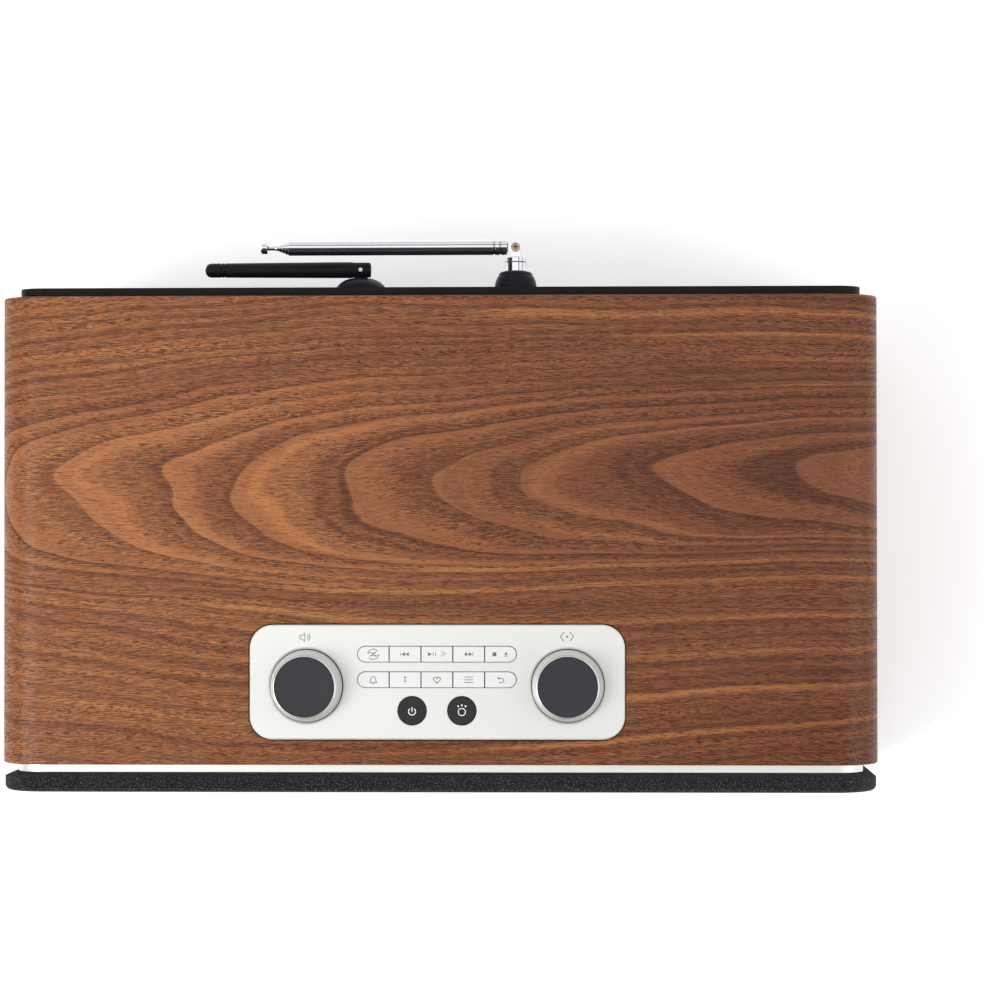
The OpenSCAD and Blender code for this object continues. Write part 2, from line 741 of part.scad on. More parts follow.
// A key's shape at (col, row): the ends of a row are round on their outer side
module pill_key(row, col) {
    foot_z = frame_floor_z + key_floor;
    skirt_z = frame_top_z - slot_gap;
    key_z = plate_top_z + key_proud;
    x = (col - 2) * key_pitch;
    y = control_y + key_row_y[row];
    end = col == 0 ? -1 : col == 4 ? 1 : 0;
    color("#e6e6e3") union() {
        translate([x, y, foot_z]) linear_extrude(key_z - foot_z) union() {
            if (end == 0)
                square([key_w, key_d], center = true);
            else {
                translate([-end * key_d / 4, 0]) square([key_w - key_d / 2, key_d], center = true);
                translate([end * (key_w / 2 - key_d / 2), 0]) circle(key_d / 2);
            }
        }
        translate([x - end * key_d / 4, y, foot_z]) linear_extrude(skirt_z - foot_z)
            square([key_w - abs(end) * key_d / 2, key_d + 2 * key_skirt], center = true);
        translate([x, y, frame_foot_z + 0.2]) cylinder(r = 1.5, h = foot_z - frame_foot_z, $fn = 24);
    }
}

module round_key(side) {
    foot_z = frame_floor_z + key_floor;
    skirt_z = frame_top_z - slot_gap;
    color("#303133") translate([side * round_key_x, control_y + round_key_y, 0]) union() {
        translate([0, 0, foot_z]) cylinder(r = round_key_r, h = plate_top_z + key_proud - 0.4 - foot_z);
        translate([0, 0, plate_top_z + key_proud - 0.5])
            cylinder(r1 = round_key_r, r2 = round_key_r - 0.4, h = 0.5);
        translate([0, 0, foot_z]) cylinder(r = round_key_r + key_skirt, h = skirt_z - foot_z);
        translate([0, 0, frame_foot_z + 0.2]) cylinder(r = 1.5, h = foot_z - frame_foot_z, $fn = 24);
    }
}

module control_board() {
    switch_h = 1;
    color("#2f6b45") union() {
        lying(plate_w - 10, plate_d - 8, 2, board_z, board_z + board_t);
        for (row = [0, 1], col = [0 : 4])
            box_at((col - 2) * key_pitch, control_y + key_row_y[row], board_z + board_t - 0.1, 6, 6,
                switch_h + 0.1);
        for (x = [-round_key_x, round_key_x])
            box_at(x, control_y + round_key_y, board_z + board_t - 0.1, 6, 6, switch_h + 0.1);
        box_at(0, control_y + plate_d / 2 - 7, board_z - 3, 24, 4, 3.1);
        for (x = [-plate_w / 2 + 8, plate_w / 2 - 8], y = [-plate_d / 2 + 7, plate_d / 2 - 7])
            translate([x, control_y + y, board_z + 1]) cylinder(r = 2, h = frame_floor_z - board_z - 1);
    }
}

module encoders() {
    foot_z = board_z + board_t;
    color("#8f9296") for (x = [-knob_x, knob_x])
        translate([x, control_y + knob_y, 0]) difference() {
            union() {
                box_at(0, 0, foot_z, 12, 12, encoder_h);
                translate([0, 0, foot_z + encoder_h - 0.5]) cylinder(r = bush_r, h = 5.5);
            }
            translate([0, 0, foot_z + 0.4]) cylinder(r = shaft_r + run_gap, h = 20);
        }
}

module knob_shaft(side) {
    color("#b9bcc0") translate([side * knob_x, control_y + knob_y, shaft_foot_z])
        cylinder(r = shaft_r, h = shaft_top_z - shaft_foot_z);
}

module tuning_plunger() {
    color("#e0d8c0") translate([knob_x, control_y + knob_y, shaft_foot_z - plunger_t])
        cylinder(r = 2, h = plunger_t);
}

// A turned shell: straight foot, tapering side, rounded rim, and a hub on the shaft
module knob(side) {
    round_r = 0.8;
    skin = 2;
    deck_z = knob_top_z - 0.4 - cap_t;
    hub_z = board_z + board_t + encoder_h + 6;
    color("#d4d5d3") translate([side * knob_x, control_y + knob_y, 0]) rotate_extrude()
        polygon(concat(
            [[shaft_r + 0.02, hub_z], [shaft_r + 2.5, hub_z], [shaft_r + 2.5, deck_z - skin],
                [knob_top_r - skin, deck_z - skin], [knob_r - skin, knob_foot_z],
                [knob_r, knob_foot_z], [knob_r, knob_foot_z + 2.4]],
            [for (a = [0 : 15 : 90]) [knob_top_r + 0.1 - round_r + round_r * cos(a),
                knob_top_z - round_r + round_r * sin(a)]],
            [[cap_r + 0.05, knob_top_z], [cap_r + 0.05, deck_z], [0, deck_z], [0, shaft_top_z],
                [shaft_r + 0.02, shaft_top_z]]));
}

// The dark disc let into a knob's top, slightly dished
module knob_cap(side) {
    dish = 0.35;
    deck_z = knob_top_z - 0.4 - cap_t;
    color("#3e4043") translate([side * knob_x, control_y + knob_y, deck_z]) rotate_extrude()
        polygon(concat([[0, 0], [cap_r, 0], [cap_r, cap_t - 0.15], [cap_r - 0.15, cap_t]],
            [for (i = [6 : -1 : 0]) [(cap_r - 0.6) * i / 6, cap_t - dish * (1 - pow(i / 6, 2))]]));
}

// ---- Telescopic aerial ----

module aerial_boot() {
    color("#23242a") backwards(aerial_x, panel_y, aerial_z) difference() {
        rotate_extrude() polygon(concat([[0, 0], [10.2, 0], [10, 2], [9.5, 4], [8.8, 5.6]],
            [for (a = [0 : 15 : 90]) [6.3 + 1.9 * cos(a), boot_h - 1.9 + 1.9 * sin(a)]],
            [[0, boot_h]]));
        translate([0, 0, -over]) cylinder(r = spindle_r + run_gap, h = boot_h + 2 * over);
    }
}

// Spindle, collar and the two ears that hold the rod's tongue
module aerial_swivel() {
    nut_r = 5;
    nut_t = 3.5;
    nut_y = wood_back_y - 0.3 - nut_t;
    groove = 0.4;
    color("#d8d2c4") difference() {
        union() {
            backwards(aerial_x, nut_y, aerial_z) cylinder(r = spindle_r, h = collar_y - nut_y + 1);
            backwards(aerial_x, nut_y, aerial_z) cylinder(r = nut_r, h = nut_t, $fn = 6);
            backwards(aerial_x, collar_y, aerial_z) difference() {
                cylinder(r = collar_r, h = collar_end_y - collar_y);
                translate([0, 0, 4]) difference() {
                    cylinder(r = collar_r + over, h = 0.5);
                    cylinder(r = collar_r - groove, h = 0.5);
                }
            }
            for (s = [-1, 1])
                translate([aerial_x, 0, aerial_z + s * (ear_gap + ear_t) / 2]) {
                    translate([-ear_r, collar_end_y - 1, -ear_t / 2])
                        cube([2 * ear_r, aerial_y - collar_end_y + 1, ear_t]);
                    translate([0, aerial_y, 0]) cylinder(r = ear_r, h = ear_t, center = true);
                }
        }
        translate([aerial_x, aerial_y, aerial_z]) cylinder(r = pivot_r, h = 20, center = true);
    }
}

module aerial_pivot_screw() {
    head_t = 1.1;
    reach = ear_gap / 2 + ear_t;
    color("#c9c3b4") translate([aerial_x, aerial_y, aerial_z + reach]) rotate([180, 0, 0])
        screw(2 * reach + 0.6, ear_r, head_t, pivot_r);
}

// Tube number i, 0 being the widest
module aerial_tube(i) {
    outer = tube_r - i * tube_step;
    inner = outer - tube_wall;
    foot = i == 0 ? tube_foot + 5 : tube_foot + 8 + 2 * i;
    end = tube_l + i * tip_step;
    leftwards(aerial_x, aerial_y, aerial_z) rotate_extrude()
        polygon([[inner, foot], [outer, foot], [outer, end - 0.3], [outer - 0.3, end],
            [inner, end]]);
}

module aerial_tube_1() {
    plug = 5;
    groove = 0.35;
    groove_w = 1;
    color("#e3e3e6") {
        difference() {
            union() {
                aerial_tube(0);
                leftwards(aerial_x, aerial_y, aerial_z) translate([0, 0, tube_foot])
                    cylinder(r = tube_r, h = plug);
                translate([aerial_x - tube_foot - 1, aerial_y - ear_r, aerial_z - tongue_t / 2])
                    cube([tube_foot + 1, 2 * ear_r, tongue_t]);
                translate([aerial_x, aerial_y, aerial_z])
                    cylinder(r = ear_r, h = tongue_t, center = true);
            }
            translate([aerial_x, aerial_y, aerial_z])
                cylinder(r = pivot_r + run_gap, h = 10, center = true);
            for (s = [6.8, 9.8])
                leftwards(aerial_x, aerial_y, aerial_z) translate([0, 0, s]) difference() {
                    cylinder(r = tube_r + over, h = groove_w);
                    translate([0, 0, -over]) cylinder(r = tube_r - groove, h = groove_w + 2 * over);
                }
        }
    }
}

module aerial_tip() {
    rod_r = tube_r - 4 * tube_step + 0.05;
    foot = tube_foot + 16;
    rod_end = tube_l + 4 * tip_step;
    tip_z = rod_end + neck_l;
    color("#e3e3e6") leftwards(aerial_x, aerial_y, aerial_z) rotate_extrude()
        polygon([[0, foot], [rod_r, foot], [rod_r, rod_end - 0.2], [neck_r, rod_end + 0.4],
            [neck_r, tip_z], [tip_r - 0.3, tip_z], [tip_r, tip_z + 0.3], [tip_r, tip_z + tip_t - 0.6],
            [tip_r - 0.6, tip_z + tip_t], [0, tip_z + tip_t]]);
}

// ---- Network aerial ----

// Swivelling dome with the hinge tongue, its spindle and its nut
module wifi_base() {
    nut_t = 3.5;
    nut_y = wood_back_y - 0.3 - nut_t;
    lift = 0.3;
    sweep_r = 6.6;
    cheek = 4.3;
    steps = 12;
    flat_a = asin(dome_flat_h / dome_h);
    color("#23242a") difference() {
        union() {
            difference() {
                backwards(wifi_x, panel_y + lift, wifi_z) rotate_extrude()
                    polygon(concat([[0, 0]], [for (i = [0 : steps]) [dome_r * cos(i * flat_a / steps),
                        (dome_h - lift) * sin(i * flat_a / steps)]],
                        [[0, (dome_h - lift) * sin(flat_a)]]));
                translate([wifi_x, wifi_y, wifi_z]) cylinder(r = sweep_r, h = 2 * cheek, center = true);
            }
            translate([wifi_x - wifi_tongue_r, panel_y + 2, wifi_z - wifi_tongue_t / 2])
                cube([2 * wifi_tongue_r, wifi_off - 2, wifi_tongue_t]);
            translate([wifi_x, wifi_y, wifi_z])
                cylinder(r = wifi_tongue_r, h = wifi_tongue_t, center = true);
            backwards(wifi_x, nut_y, wifi_z)
                cylinder(r = spindle_r, h = panel_y + lift - nut_y + 0.5);
            backwards(wifi_x, nut_y, wifi_z) cylinder(r = 5, h = nut_t, $fn = 6);
        }
        translate([wifi_x, wifi_y, wifi_z]) cylinder(r = pivot_r, h = 20, center = true);
    }
}

module wifi_stick() {
    groove = 0.35;
    waist = 8.2;    // from the tip to the two grooves
    color("#222327") difference() {
        leftwards(wifi_x, wifi_y, wifi_z) difference() {
            rotate_extrude() polygon(concat([[0, -wifi_heel], [wifi_root_r - 0.5, -wifi_heel],
                [wifi_root_r, -wifi_heel + 0.5], [wifi_root_r, 12]],
                [for (a = [0 : 15 : 90]) [wifi_tip_r * cos(a), wifi_l - 3 + 3 * sin(a)]]));
            for (s = [0, 1.8])
                translate([0, 0, wifi_l - waist - s]) difference() {
                    cylinder(r = wifi_root_r + over, h = 0.6);
                    translate([0, 0, -over]) cylinder(r = wifi_tip_r - groove, h = 0.6 + 2 * over);
                }
        }
        translate([wifi_x - wifi_tongue_r - 0.8, wifi_y - 10, wifi_z - wifi_fork_gap / 2])
            cube([20, 20, wifi_fork_gap]);
        translate([wifi_x, wifi_y, wifi_z]) cylinder(r = pivot_r + run_gap, h = 20, center = true);
    }
}

module wifi_pin() {
    color("#3a3b3f") translate([wifi_x, wifi_y, wifi_z])
        cylinder(r = pivot_r, h = 2 * wifi_root_r - 1.2, center = true);
}

// ---- Nodes ----

wood_cabinet();
back_panel();
case_screws();
front_trim();
front_baffle();
grille_frame();
grille_cloth();
fascia();
display_lens();
display_module();
cd_drive();
inner_dividers();
bass_ports();
main_board();
heat_sink();
power_supply();
mains_inlet();
jack_sockets();
usb_socket();
control_plate();
button_frame();
control_board();
encoders();
feet();
woofer_baskets();
woofer_magnets();
woofer_suspensions();
tweeters();
woofer_cone(-1);  // left_woofer_cone
woofer_cone(1);  // right_woofer_cone
knob(-1);  // volume_knob
knob_cap(-1);  // volume_knob_cap
knob_shaft(-1);  // volume_shaft
knob(1);  // tuning_knob
knob_cap(1);  // tuning_knob_cap
knob_shaft(1);  // tuning_shaft
tuning_plunger();
pill_key(0, 0);  // button_shuffle
pill_key(0, 1);  // button_previous
pill_key(0, 2);  // button_play
pill_key(0, 3);  // button_next
pill_key(0, 4);  // button_stop
pill_key(1, 0);  // button_alarm
pill_key(1, 1);  // button_info
pill_key(1, 2);  // button_favourite
pill_key(1, 3);  // button_menu
pill_key(1, 4);  // button_back
round_key(-1);  // button_power
round_key(1);  // button_source
aerial_boot();
aerial_swivel();
aerial_pivot_screw();
aerial_tube_1();
color("#e3e3e6") aerial_tube(1);  // aerial_tube_2
color("#e3e3e6") aerial_tube(2);  // aerial_tube_3
color("#e3e3e6") aerial_tube(3);  // aerial_tube_4
aerial_tip();
wifi_base();
wifi_stick();
wifi_pin();
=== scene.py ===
import math
import bmesh
import bpy
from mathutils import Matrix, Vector


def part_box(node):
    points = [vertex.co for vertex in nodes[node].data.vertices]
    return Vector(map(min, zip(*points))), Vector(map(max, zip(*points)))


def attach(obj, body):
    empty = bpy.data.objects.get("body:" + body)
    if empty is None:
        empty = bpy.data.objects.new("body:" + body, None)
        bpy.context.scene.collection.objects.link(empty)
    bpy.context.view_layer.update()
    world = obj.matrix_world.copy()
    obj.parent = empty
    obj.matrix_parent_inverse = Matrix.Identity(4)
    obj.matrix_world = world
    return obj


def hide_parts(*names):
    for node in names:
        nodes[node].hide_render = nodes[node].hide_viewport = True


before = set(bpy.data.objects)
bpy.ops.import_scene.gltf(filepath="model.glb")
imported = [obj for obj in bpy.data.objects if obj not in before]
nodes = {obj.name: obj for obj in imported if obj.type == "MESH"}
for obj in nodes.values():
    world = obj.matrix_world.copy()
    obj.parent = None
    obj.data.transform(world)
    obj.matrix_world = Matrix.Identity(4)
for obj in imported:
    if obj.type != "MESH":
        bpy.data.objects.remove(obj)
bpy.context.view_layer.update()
scene = bpy.context.scene

MM = 0.001


# ---------------------------------------------------------------- camera

# Fitted to the photo: lens in millimetres, place in metres, tilt in degrees
LENS = 101.64
CAMERA_PLACE = (0.06827, -0.00821, 1.48556)
CAMERA_TILT = (0.631, 1.642, -0.056)


def make_camera():
    """The photo's view: from straight above, leaning a degree or two."""
    data = bpy.data.cameras.new("camera")
    camera = bpy.data.objects.new("camera", data)
    scene.collection.objects.link(camera)
    data.sensor_width = 36.0
    data.lens = LENS
    data.clip_start = 0.05
    data.clip_end = 60.0
    camera.location = CAMERA_PLACE
    camera.rotation_euler = [math.radians(angle) for angle in CAMERA_TILT]
    scene.camera = camera


make_camera()


# ---------------------------------------------------------------- places, from the frame

sleeve_low, sleeve_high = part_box("wood_cabinet")
plate_low, plate_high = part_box("control_plate")
cloth_low, cloth_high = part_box("grille_cloth")
trim_low, trim_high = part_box("front_trim")
fascia_low, fascia_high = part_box("fascia")
CABINET_W = sleeve_high.x - sleeve_low.x
CABINET_H = sleeve_high.z - sleeve_low.z
MID_Z = (sleeve_low.z + sleeve_high.z) / 2
CORNER_R = 20 * MM
WALL = 12 * MM
PLATE_X = (plate_low.x + plate_high.x) / 2
PLATE_Y = (plate_low.y + plate_high.y) / 2


# ---------------------------------------------------------------- meshes

def add_object(name, mesh, body):
    obj = bpy.data.objects.new(name, mesh)
    scene.collection.objects.link(obj)
    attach(obj, body)
    return obj


def rounded_loop(w, h, r, steps=10):
    """Points of a rounded rectangle about the origin, anticlockwise."""
    r = max(r, 1e-5)
    points = []
    for k, (sx, sz) in enumerate(((1, 1), (-1, 1), (-1, -1), (1, -1))):
        for i in range(steps + 1):
            a = math.radians(90 * k + 90 * i / steps)
            points.append((sx * (w / 2 - r) + r * math.cos(a), sz * (h / 2 - r) + r * math.sin(a)))
    return points


def loft(bm, rings, closed=True):
    """Faces between rings of vertices with the same count; closed joins the last ring to the first."""
    made = [[bm.verts.new(p) for p in ring] for ring in rings]
    pairs = list(zip(made, made[1:]))
    if closed:
        pairs.append((made[-1], made[0]))
    for a, b in pairs:
        n = len(a)
        for i in range(n):
            bm.faces.new((a[i], a[(i + 1) % n], b[(i + 1) % n], b[i]))
    return made


def finish_mesh(bm, name, smooth_angle=40):
    bmesh.ops.recalc_face_normals(bm, faces=bm.faces)
    mesh = bpy.data.meshes.new(name)
    bm.to_mesh(mesh)
    bm.free()
    mesh.shade_smooth()
    mesh.set_sharp_from_angle(angle=math.radians(smooth_angle))
    return mesh


def arc_profile(r, start, end, steps):
    """(inset, run) pairs of a rounded edge, both measured from the sharp corner."""
    out = []
    for i in range(steps + 1):
        a = math.radians(start + (end - start) * i / steps)
        out.append((r - r * math.sin(a), r - r * math.cos(a)))
    return out


# The sleeve's eased edges, and the gap and corners of the opening for the control plate
EASE = 0.9 * MM
PLATE_GAP = 0.5 * MM
PLATE_CORNER_R = 11.5 * MM


def sleeve_tube():
    """The sleeve before its opening is cut: a lofted tube with eased edges."""
    y0, y1 = sleeve_low.y, sleeve_high.y
    profile = [(WALL, y0)]
    profile += [(inset, y0 + run) for inset, run in arc_profile(EASE, 0, 90, 4)]
    profile += [(0, y0 + (y1 - y0) * k / 6) for k in range(1, 6)]
    profile += [(inset, y1 - run) for inset, run in reversed(arc_profile(EASE, 0, 90, 4))]
    profile += [(WALL, y1)]
    bm = bmesh.new()
    rings = []
    for inset, y in profile:
        loop = rounded_loop(CABINET_W - 2 * inset, CABINET_H - 2 * inset, CORNER_R - inset, 14)
        rings.append([(x, y, MID_Z + z) for x, z in loop])
    loft(bm, rings)
    tube = bpy.data.objects.new("walnut_sleeve", finish_mesh(bm, "walnut_sleeve"))
    scene.collection.objects.link(tube)
    return tube


def plate_cutter():
    """A solid the shape of the control plate's opening: straight walls below a flared mouth."""
    w = plate_high.x - plate_low.x + 2 * PLATE_GAP
    d = plate_high.y - plate_low.y + 2 * PLATE_GAP
    top = sleeve_high.z
    cut = bmesh.new()
    rings = []
    for z, grow in ((top + 2 * MM, 2.4 * MM), (top - 0.35 * MM, 0.0), (top - WALL - 3 * MM, 0.0)):
        loop = rounded_loop(w + 2 * grow, d + 2 * grow, PLATE_CORNER_R + grow, 10)
        rings.append([(PLATE_X + x, PLATE_Y + y, z) for x, y in loop])
    made = loft(cut, rings, closed=False)
    cut.faces.new(made[0])
    cut.faces.new(list(reversed(made[-1])))
    cutter = bpy.data.objects.new("cutter", finish_mesh(cut, "cutter"))
    scene.collection.objects.link(cutter)
    return cutter


def make_sleeve():
    """The veneered sleeve, with the opening for the control plate."""
    body = sleeve_tube()
    cutter = plate_cutter()
    opening = body.modifiers.new("opening", "BOOLEAN")
    opening.operation = "DIFFERENCE"
    opening.solver = "EXACT"
    opening.object = cutter
    bpy.context.view_layer.update()
    mesh = bpy.data.meshes.new_from_object(body.evaluated_get(bpy.context.evaluated_depsgraph_get()))
    bpy.data.objects.remove(cutter)
    body.modifiers.clear()
    body.data = mesh
    mesh.shade_smooth()
    mesh.set_sharp_from_angle(angle=math.radians(35))
    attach(body, "cabinet")
    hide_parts("wood_cabinet")
    return body


# The grille cloth: its thickness, how far it bows out, and the rounded and sloping parts of its edge
CLOTH_T = 0.8 * MM
CLOTH_BOW = 0.9 * MM
CLOTH_ROUND_R = 2.6 * MM
CLOTH_SLOPE = 2.3 * MM
TRIM_GAP = 0.1 * MM
# Its display opening: how much narrower than the fascia, its corners, its lip, its depth, its flat border
FASCIA_LAP = 3.5 * MM
OPENING_R = 9.3 * MM
LIP = 1.2 * MM
TURN_IN = 4 * MM
OPENING_BORDER = 9 * MM


def cloth_bow(x):
    """How far the stretched cloth stands out at x: most in the middle and nothing at the ends."""
    return CLOTH_BOW * (1 - (x / (CABINET_W / 2)) ** 2)


def cloth_section(t):
    """(inset, y) pairs from the trim to the front face, for cloth drawn in by t."""
    rim = (CABINET_W - (cloth_high.x - cloth_low.x)) / 2
    back_inset = (CABINET_W - (trim_high.x - trim_low.x)) / 2
    front, back = cloth_low.y, trim_low.y
    points = [(back_inset + t, back - TRIM_GAP)]
    for k in range(1, 8):
        f = k / 7
        slope = 0.6 * (1 - math.cos(f * math.pi / 2)) + 0.4 * f
        points.append((back_inset + t - (back_inset - rim) * f, back - TRIM_GAP - CLOTH_SLOPE * slope))
    points.append((rim + t, back - CLOTH_SLOPE - 1.2 * MM))
    r = CLOTH_ROUND_R - t
    for k in range(7):
        a = math.radians(90 * k / 6)
        points.append((rim + t + r - r * math.cos(a), front + t + r - r * math.sin(a)))
    return points


def cloth_ring(inset, y):
    """The cloth's outline at one depth; it bows out only where it is clear of the trim."""
    loop = rounded_loop(CABINET_W - 2 * inset, CABINET_H - 2 * inset, max(CORNER_R - inset, 4 * MM), 14)
    free = min(1.0, max(0.0, (trim_low.y - 3 * MM - y) / (4 * MM)))
    return [(x, y - cloth_bow(x) * free, MID_Z + z) for x, z in loop]


def cloth_mouth(grow, y):
    """The cloth's outline round the display opening, grown by grow."""
    w = fascia_high.x - fascia_low.x - FASCIA_LAP
    h = fascia_high.z - fascia_low.z - FASCIA_LAP
    loop = rounded_loop(w + 2 * grow, h + 2 * grow, OPENING_R + grow, 14)
    return [(x, y - cloth_bow(x), MID_Z + z) for x, z in loop]


def make_cloth():
    """The grille cloth: wrapped over the frame's edge, tapering to the trim, turned in round the fascia."""
    front = cloth_low.y
    outer = [cloth_ring(i, y) for i, y in cloth_section(0)]
    inner = [cloth_ring(i, y) for i, y in cloth_section(CLOTH_T)]
    face = [cloth_mouth(grow, front + run) for grow, run in
            ((OPENING_BORDER, 0), (LIP, 0), (0.35 * MM, 0.35 * MM), (0, LIP), (0, TURN_IN))]
    back_face = [cloth_mouth(grow, front + run) for grow, run in
                 ((CLOTH_T, TURN_IN), (CLOTH_T, LIP + CLOTH_T), (LIP + CLOTH_T, CLOTH_T),
                  (OPENING_BORDER, CLOTH_T))]
    bm = bmesh.new()
    loft(bm, outer + face + back_face + list(reversed(inner)))
    mesh = finish_mesh(bm, "grille_cloth_wrap", 50)
    obj = add_object("grille_cloth_wrap", mesh, "cabinet")
    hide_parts("grille_cloth")
    return obj


# ---------------------------------------------------------------- printed signs

INK_T = 0.05 * MM


class Ink:
    """A printed sign made of strokes and filled shapes, in millimetres about its own middle."""

    def __init__(self):
        self.shapes = []

    def fill(self, points):
        self.shapes.append([Vector(p) for p in points])

    def dot(self, x, y, r):
        turns = [k * math.pi / 8 for k in range(16)]
        self.fill([(x + r * math.cos(a), y + r * math.sin(a)) for a in turns])

    def bar(self, x, y, w, h):
        self.fill([(x + sx * w / 2, y + sy * h / 2) for sx, sy in ((-1, -1), (1, -1), (1, 1), (-1, 1))])

    def line(self, points, width, closed=False):
        pts = [Vector(p) for p in points]
        n = len(pts)
        left, right = [], []
        for i, p in enumerate(pts):
            before = pts[i - 1] if (i > 0 or closed) else None
            after = pts[(i + 1) % n] if (i < n - 1 or closed) else None
            d1 = (p - before).normalized() if before is not None else None
            d2 = (after - p).normalized() if after is not None else None
            d1 = d1 or d2
            d2 = d2 or d1
            n1 = Vector((-d1.y, d1.x))
            n2 = Vector((-d2.y, d2.x))
            m = n1 + n2
            m = m.normalized() if m.length > 1e-6 else n1
            m = m * (width / 2 / max(m.dot(n1), 0.5))
            left.append(p + m)
            right.append(p - m)
        for i in range(n if closed else n - 1):
            j = (i + 1) % n
            self.fill([right[i], right[j], left[j], left[i]])

    def arc(self, x, y, r, start, end, width, steps):
        turns = [math.radians(start + (end - start) * i / steps) for i in range(steps + 1)]
        self.line([(x + r * math.cos(a), y + r * math.sin(a)) for a in turns], width)

    def build(self, name, x, y, z, body, slot, material):
        bm = bmesh.new()
        for shape in self.shapes:
            top = [bm.verts.new((x + p.x * MM, y + p.y * MM, z + INK_T)) for p in shape]
            low = [bm.verts.new((x + p.x * MM, y + p.y * MM, z)) for p in shape]
            bm.faces.new(top)
            bm.faces.new(list(reversed(low)))
            n = len(shape)
            for i in range(n):
                bm.faces.new((top[(i + 1) % n], top[i], low[i], low[(i + 1) % n]))
        mesh = bpy.data.meshes.new(name)
        bmesh.ops.recalc_face_normals(bm, faces=bm.faces)
        bm.to_mesh(mesh)
        bm.free()
        mesh.materials.append(material)
        return add_object(name, mesh, body)


def shuffle_sign():
    s = Ink()
    for start in (35, 215):
        s.arc(0, 0, 2.45, start, start + 125, 0.34, 14)
        a = math.radians(start + 125)
        tip = (2.45 * math.cos(a + 0.32), 2.45 * math.sin(a + 0.32))
        s.fill([tip, (1.9 * math.cos(a), 1.9 * math.sin(a)), (3.0 * math.cos(a), 3.0 * math.sin(a))])
    for way in (-1, 1):
        s.line([(-1.55, 0.72 * way), (-0.8, 0.72 * way), (0.45, -0.72 * way), (0.75, -0.72 * way)], 0.38)
        s.fill([(0.7, way * 1.22), (0.7, way * 0.22), (1.55, way * 0.72)])
    return s


def skip_sign(way):
    """Two arrowheads against a bar; way is 1 for back and -1 for on."""
    s = Ink()
    s.bar(-1.95 * way, 0, 0.25, 1.7)
    for x in (-1.7, 0.1):
        s.fill([(way * x, 0), (way * (x + 1.7), -0.95), (way * (x + 1.7), 0.95)])
    return s


def play_sign():
    """Play and pause, with plain radio waves beside them."""
    s = Ink()
    s.fill([(-4.2, 0.95), (-4.2, -0.95), (-2.4, 0)])
    s.bar(-1.75, 0, 0.3, 1.5)
    s.bar(-0.6, 0, 0.3, 1.5)
    s.dot(2.3, -0.8, 0.28)
    for r in (1.0, 1.9):
        s.arc(2.3, -0.8, r, 20, 90, 0.28, 10)
    return s


def stop_sign():
    """Stop, with eject beside it."""
    s = Ink()
    s.bar(-2.9, 0, 1.8, 1.8)
    s.fill([(1.75, -0.15), (3.45, -0.15), (2.6, 1.2)])
    s.bar(2.6, -0.85, 1.5, 0.35)
    return s


def alarm_sign():
    s = Ink()
    s.line([(-1.7, -1.3), (-1.25, -0.7), (-1.15, 0.6), (-0.6, 1.35), (0, 1.55), (0.6, 1.35), (1.15, 0.6),
            (1.25, -0.7), (1.7, -1.3)], 0.32, closed=True)
    s.arc(0, -1.5, 0.5, 200, 340, 0.3, 8)
    return s


def info_sign():
    s = Ink()
    s.dot(0, 1.15, 0.42)
    s.bar(0, -0.5, 0.5, 1.5)
    return s


def heart_sign():
    s = Ink()
    points = []
    for i in range(28):
        t = 2 * math.pi * i / 28
        x = 16 * math.sin(t) ** 3
        y = 13 * math.cos(t) - 5 * math.cos(2 * t) - 2 * math.cos(3 * t) - math.cos(4 * t)
        points.append((0.108 * x, 0.104 * y))
    s.line(points, 0.34, closed=True)
    return s


def menu_sign():
    s = Ink()
    for y in (-1.3, 0, 1.3):
        s.bar(0, y, 4.1, 0.3)
    return s


def back_sign():
    s = Ink()
    s.line([(-0.9, 0.75), (0.4, 0.75)], 0.32)
    s.arc(0.4, -0.3, 1.05, 90, -90, 0.32, 12)
    s.line([(0.4, -1.35), (-1.0, -1.35)], 0.32)
    s.fill([(-1.6, 0.75), (-0.6, 1.45), (-0.6, 0.05)])
    return s


def power_sign():
    s = Ink()
    s.arc(0, -0.35, 1.65, 125, 415, 0.4, 26)
    s.bar(0, 0.65, 0.4, 2.3)
    return s


def source_sign():
    s = Ink()
    s.arc(0, -0.55, 1.7, 130, 480, 0.38, 26)
    s.line([(-1.45, 1.15), (-1.1, 0.6)], 0.36)
    for x, y in ((-1.75, 2.2), (0, 2.65), (1.75, 2.2)):
        s.dot(x, y, 0.42)
    return s


def volume_sign():
    s = Ink()
    s.line([(-2.5, -0.8), (-1.5, -0.8), (-0.2, -1.95), (-0.2, 1.95), (-1.5, 0.8), (-2.5, 0.8)], 0.32,
           closed=True)
    for r in (1.2, 2.1):
        s.arc(0.2, 0, r, -50, 50, 0.32, 12)
    return s


def tuning_sign():
    s = Ink()
    for way in (-1, 1):
        s.line([(way * 1.4, 2.2), (way * 3.1, 0), (way * 1.4, -2.2)], 0.36)
    s.dot(0, 0, 0.5)
    return s


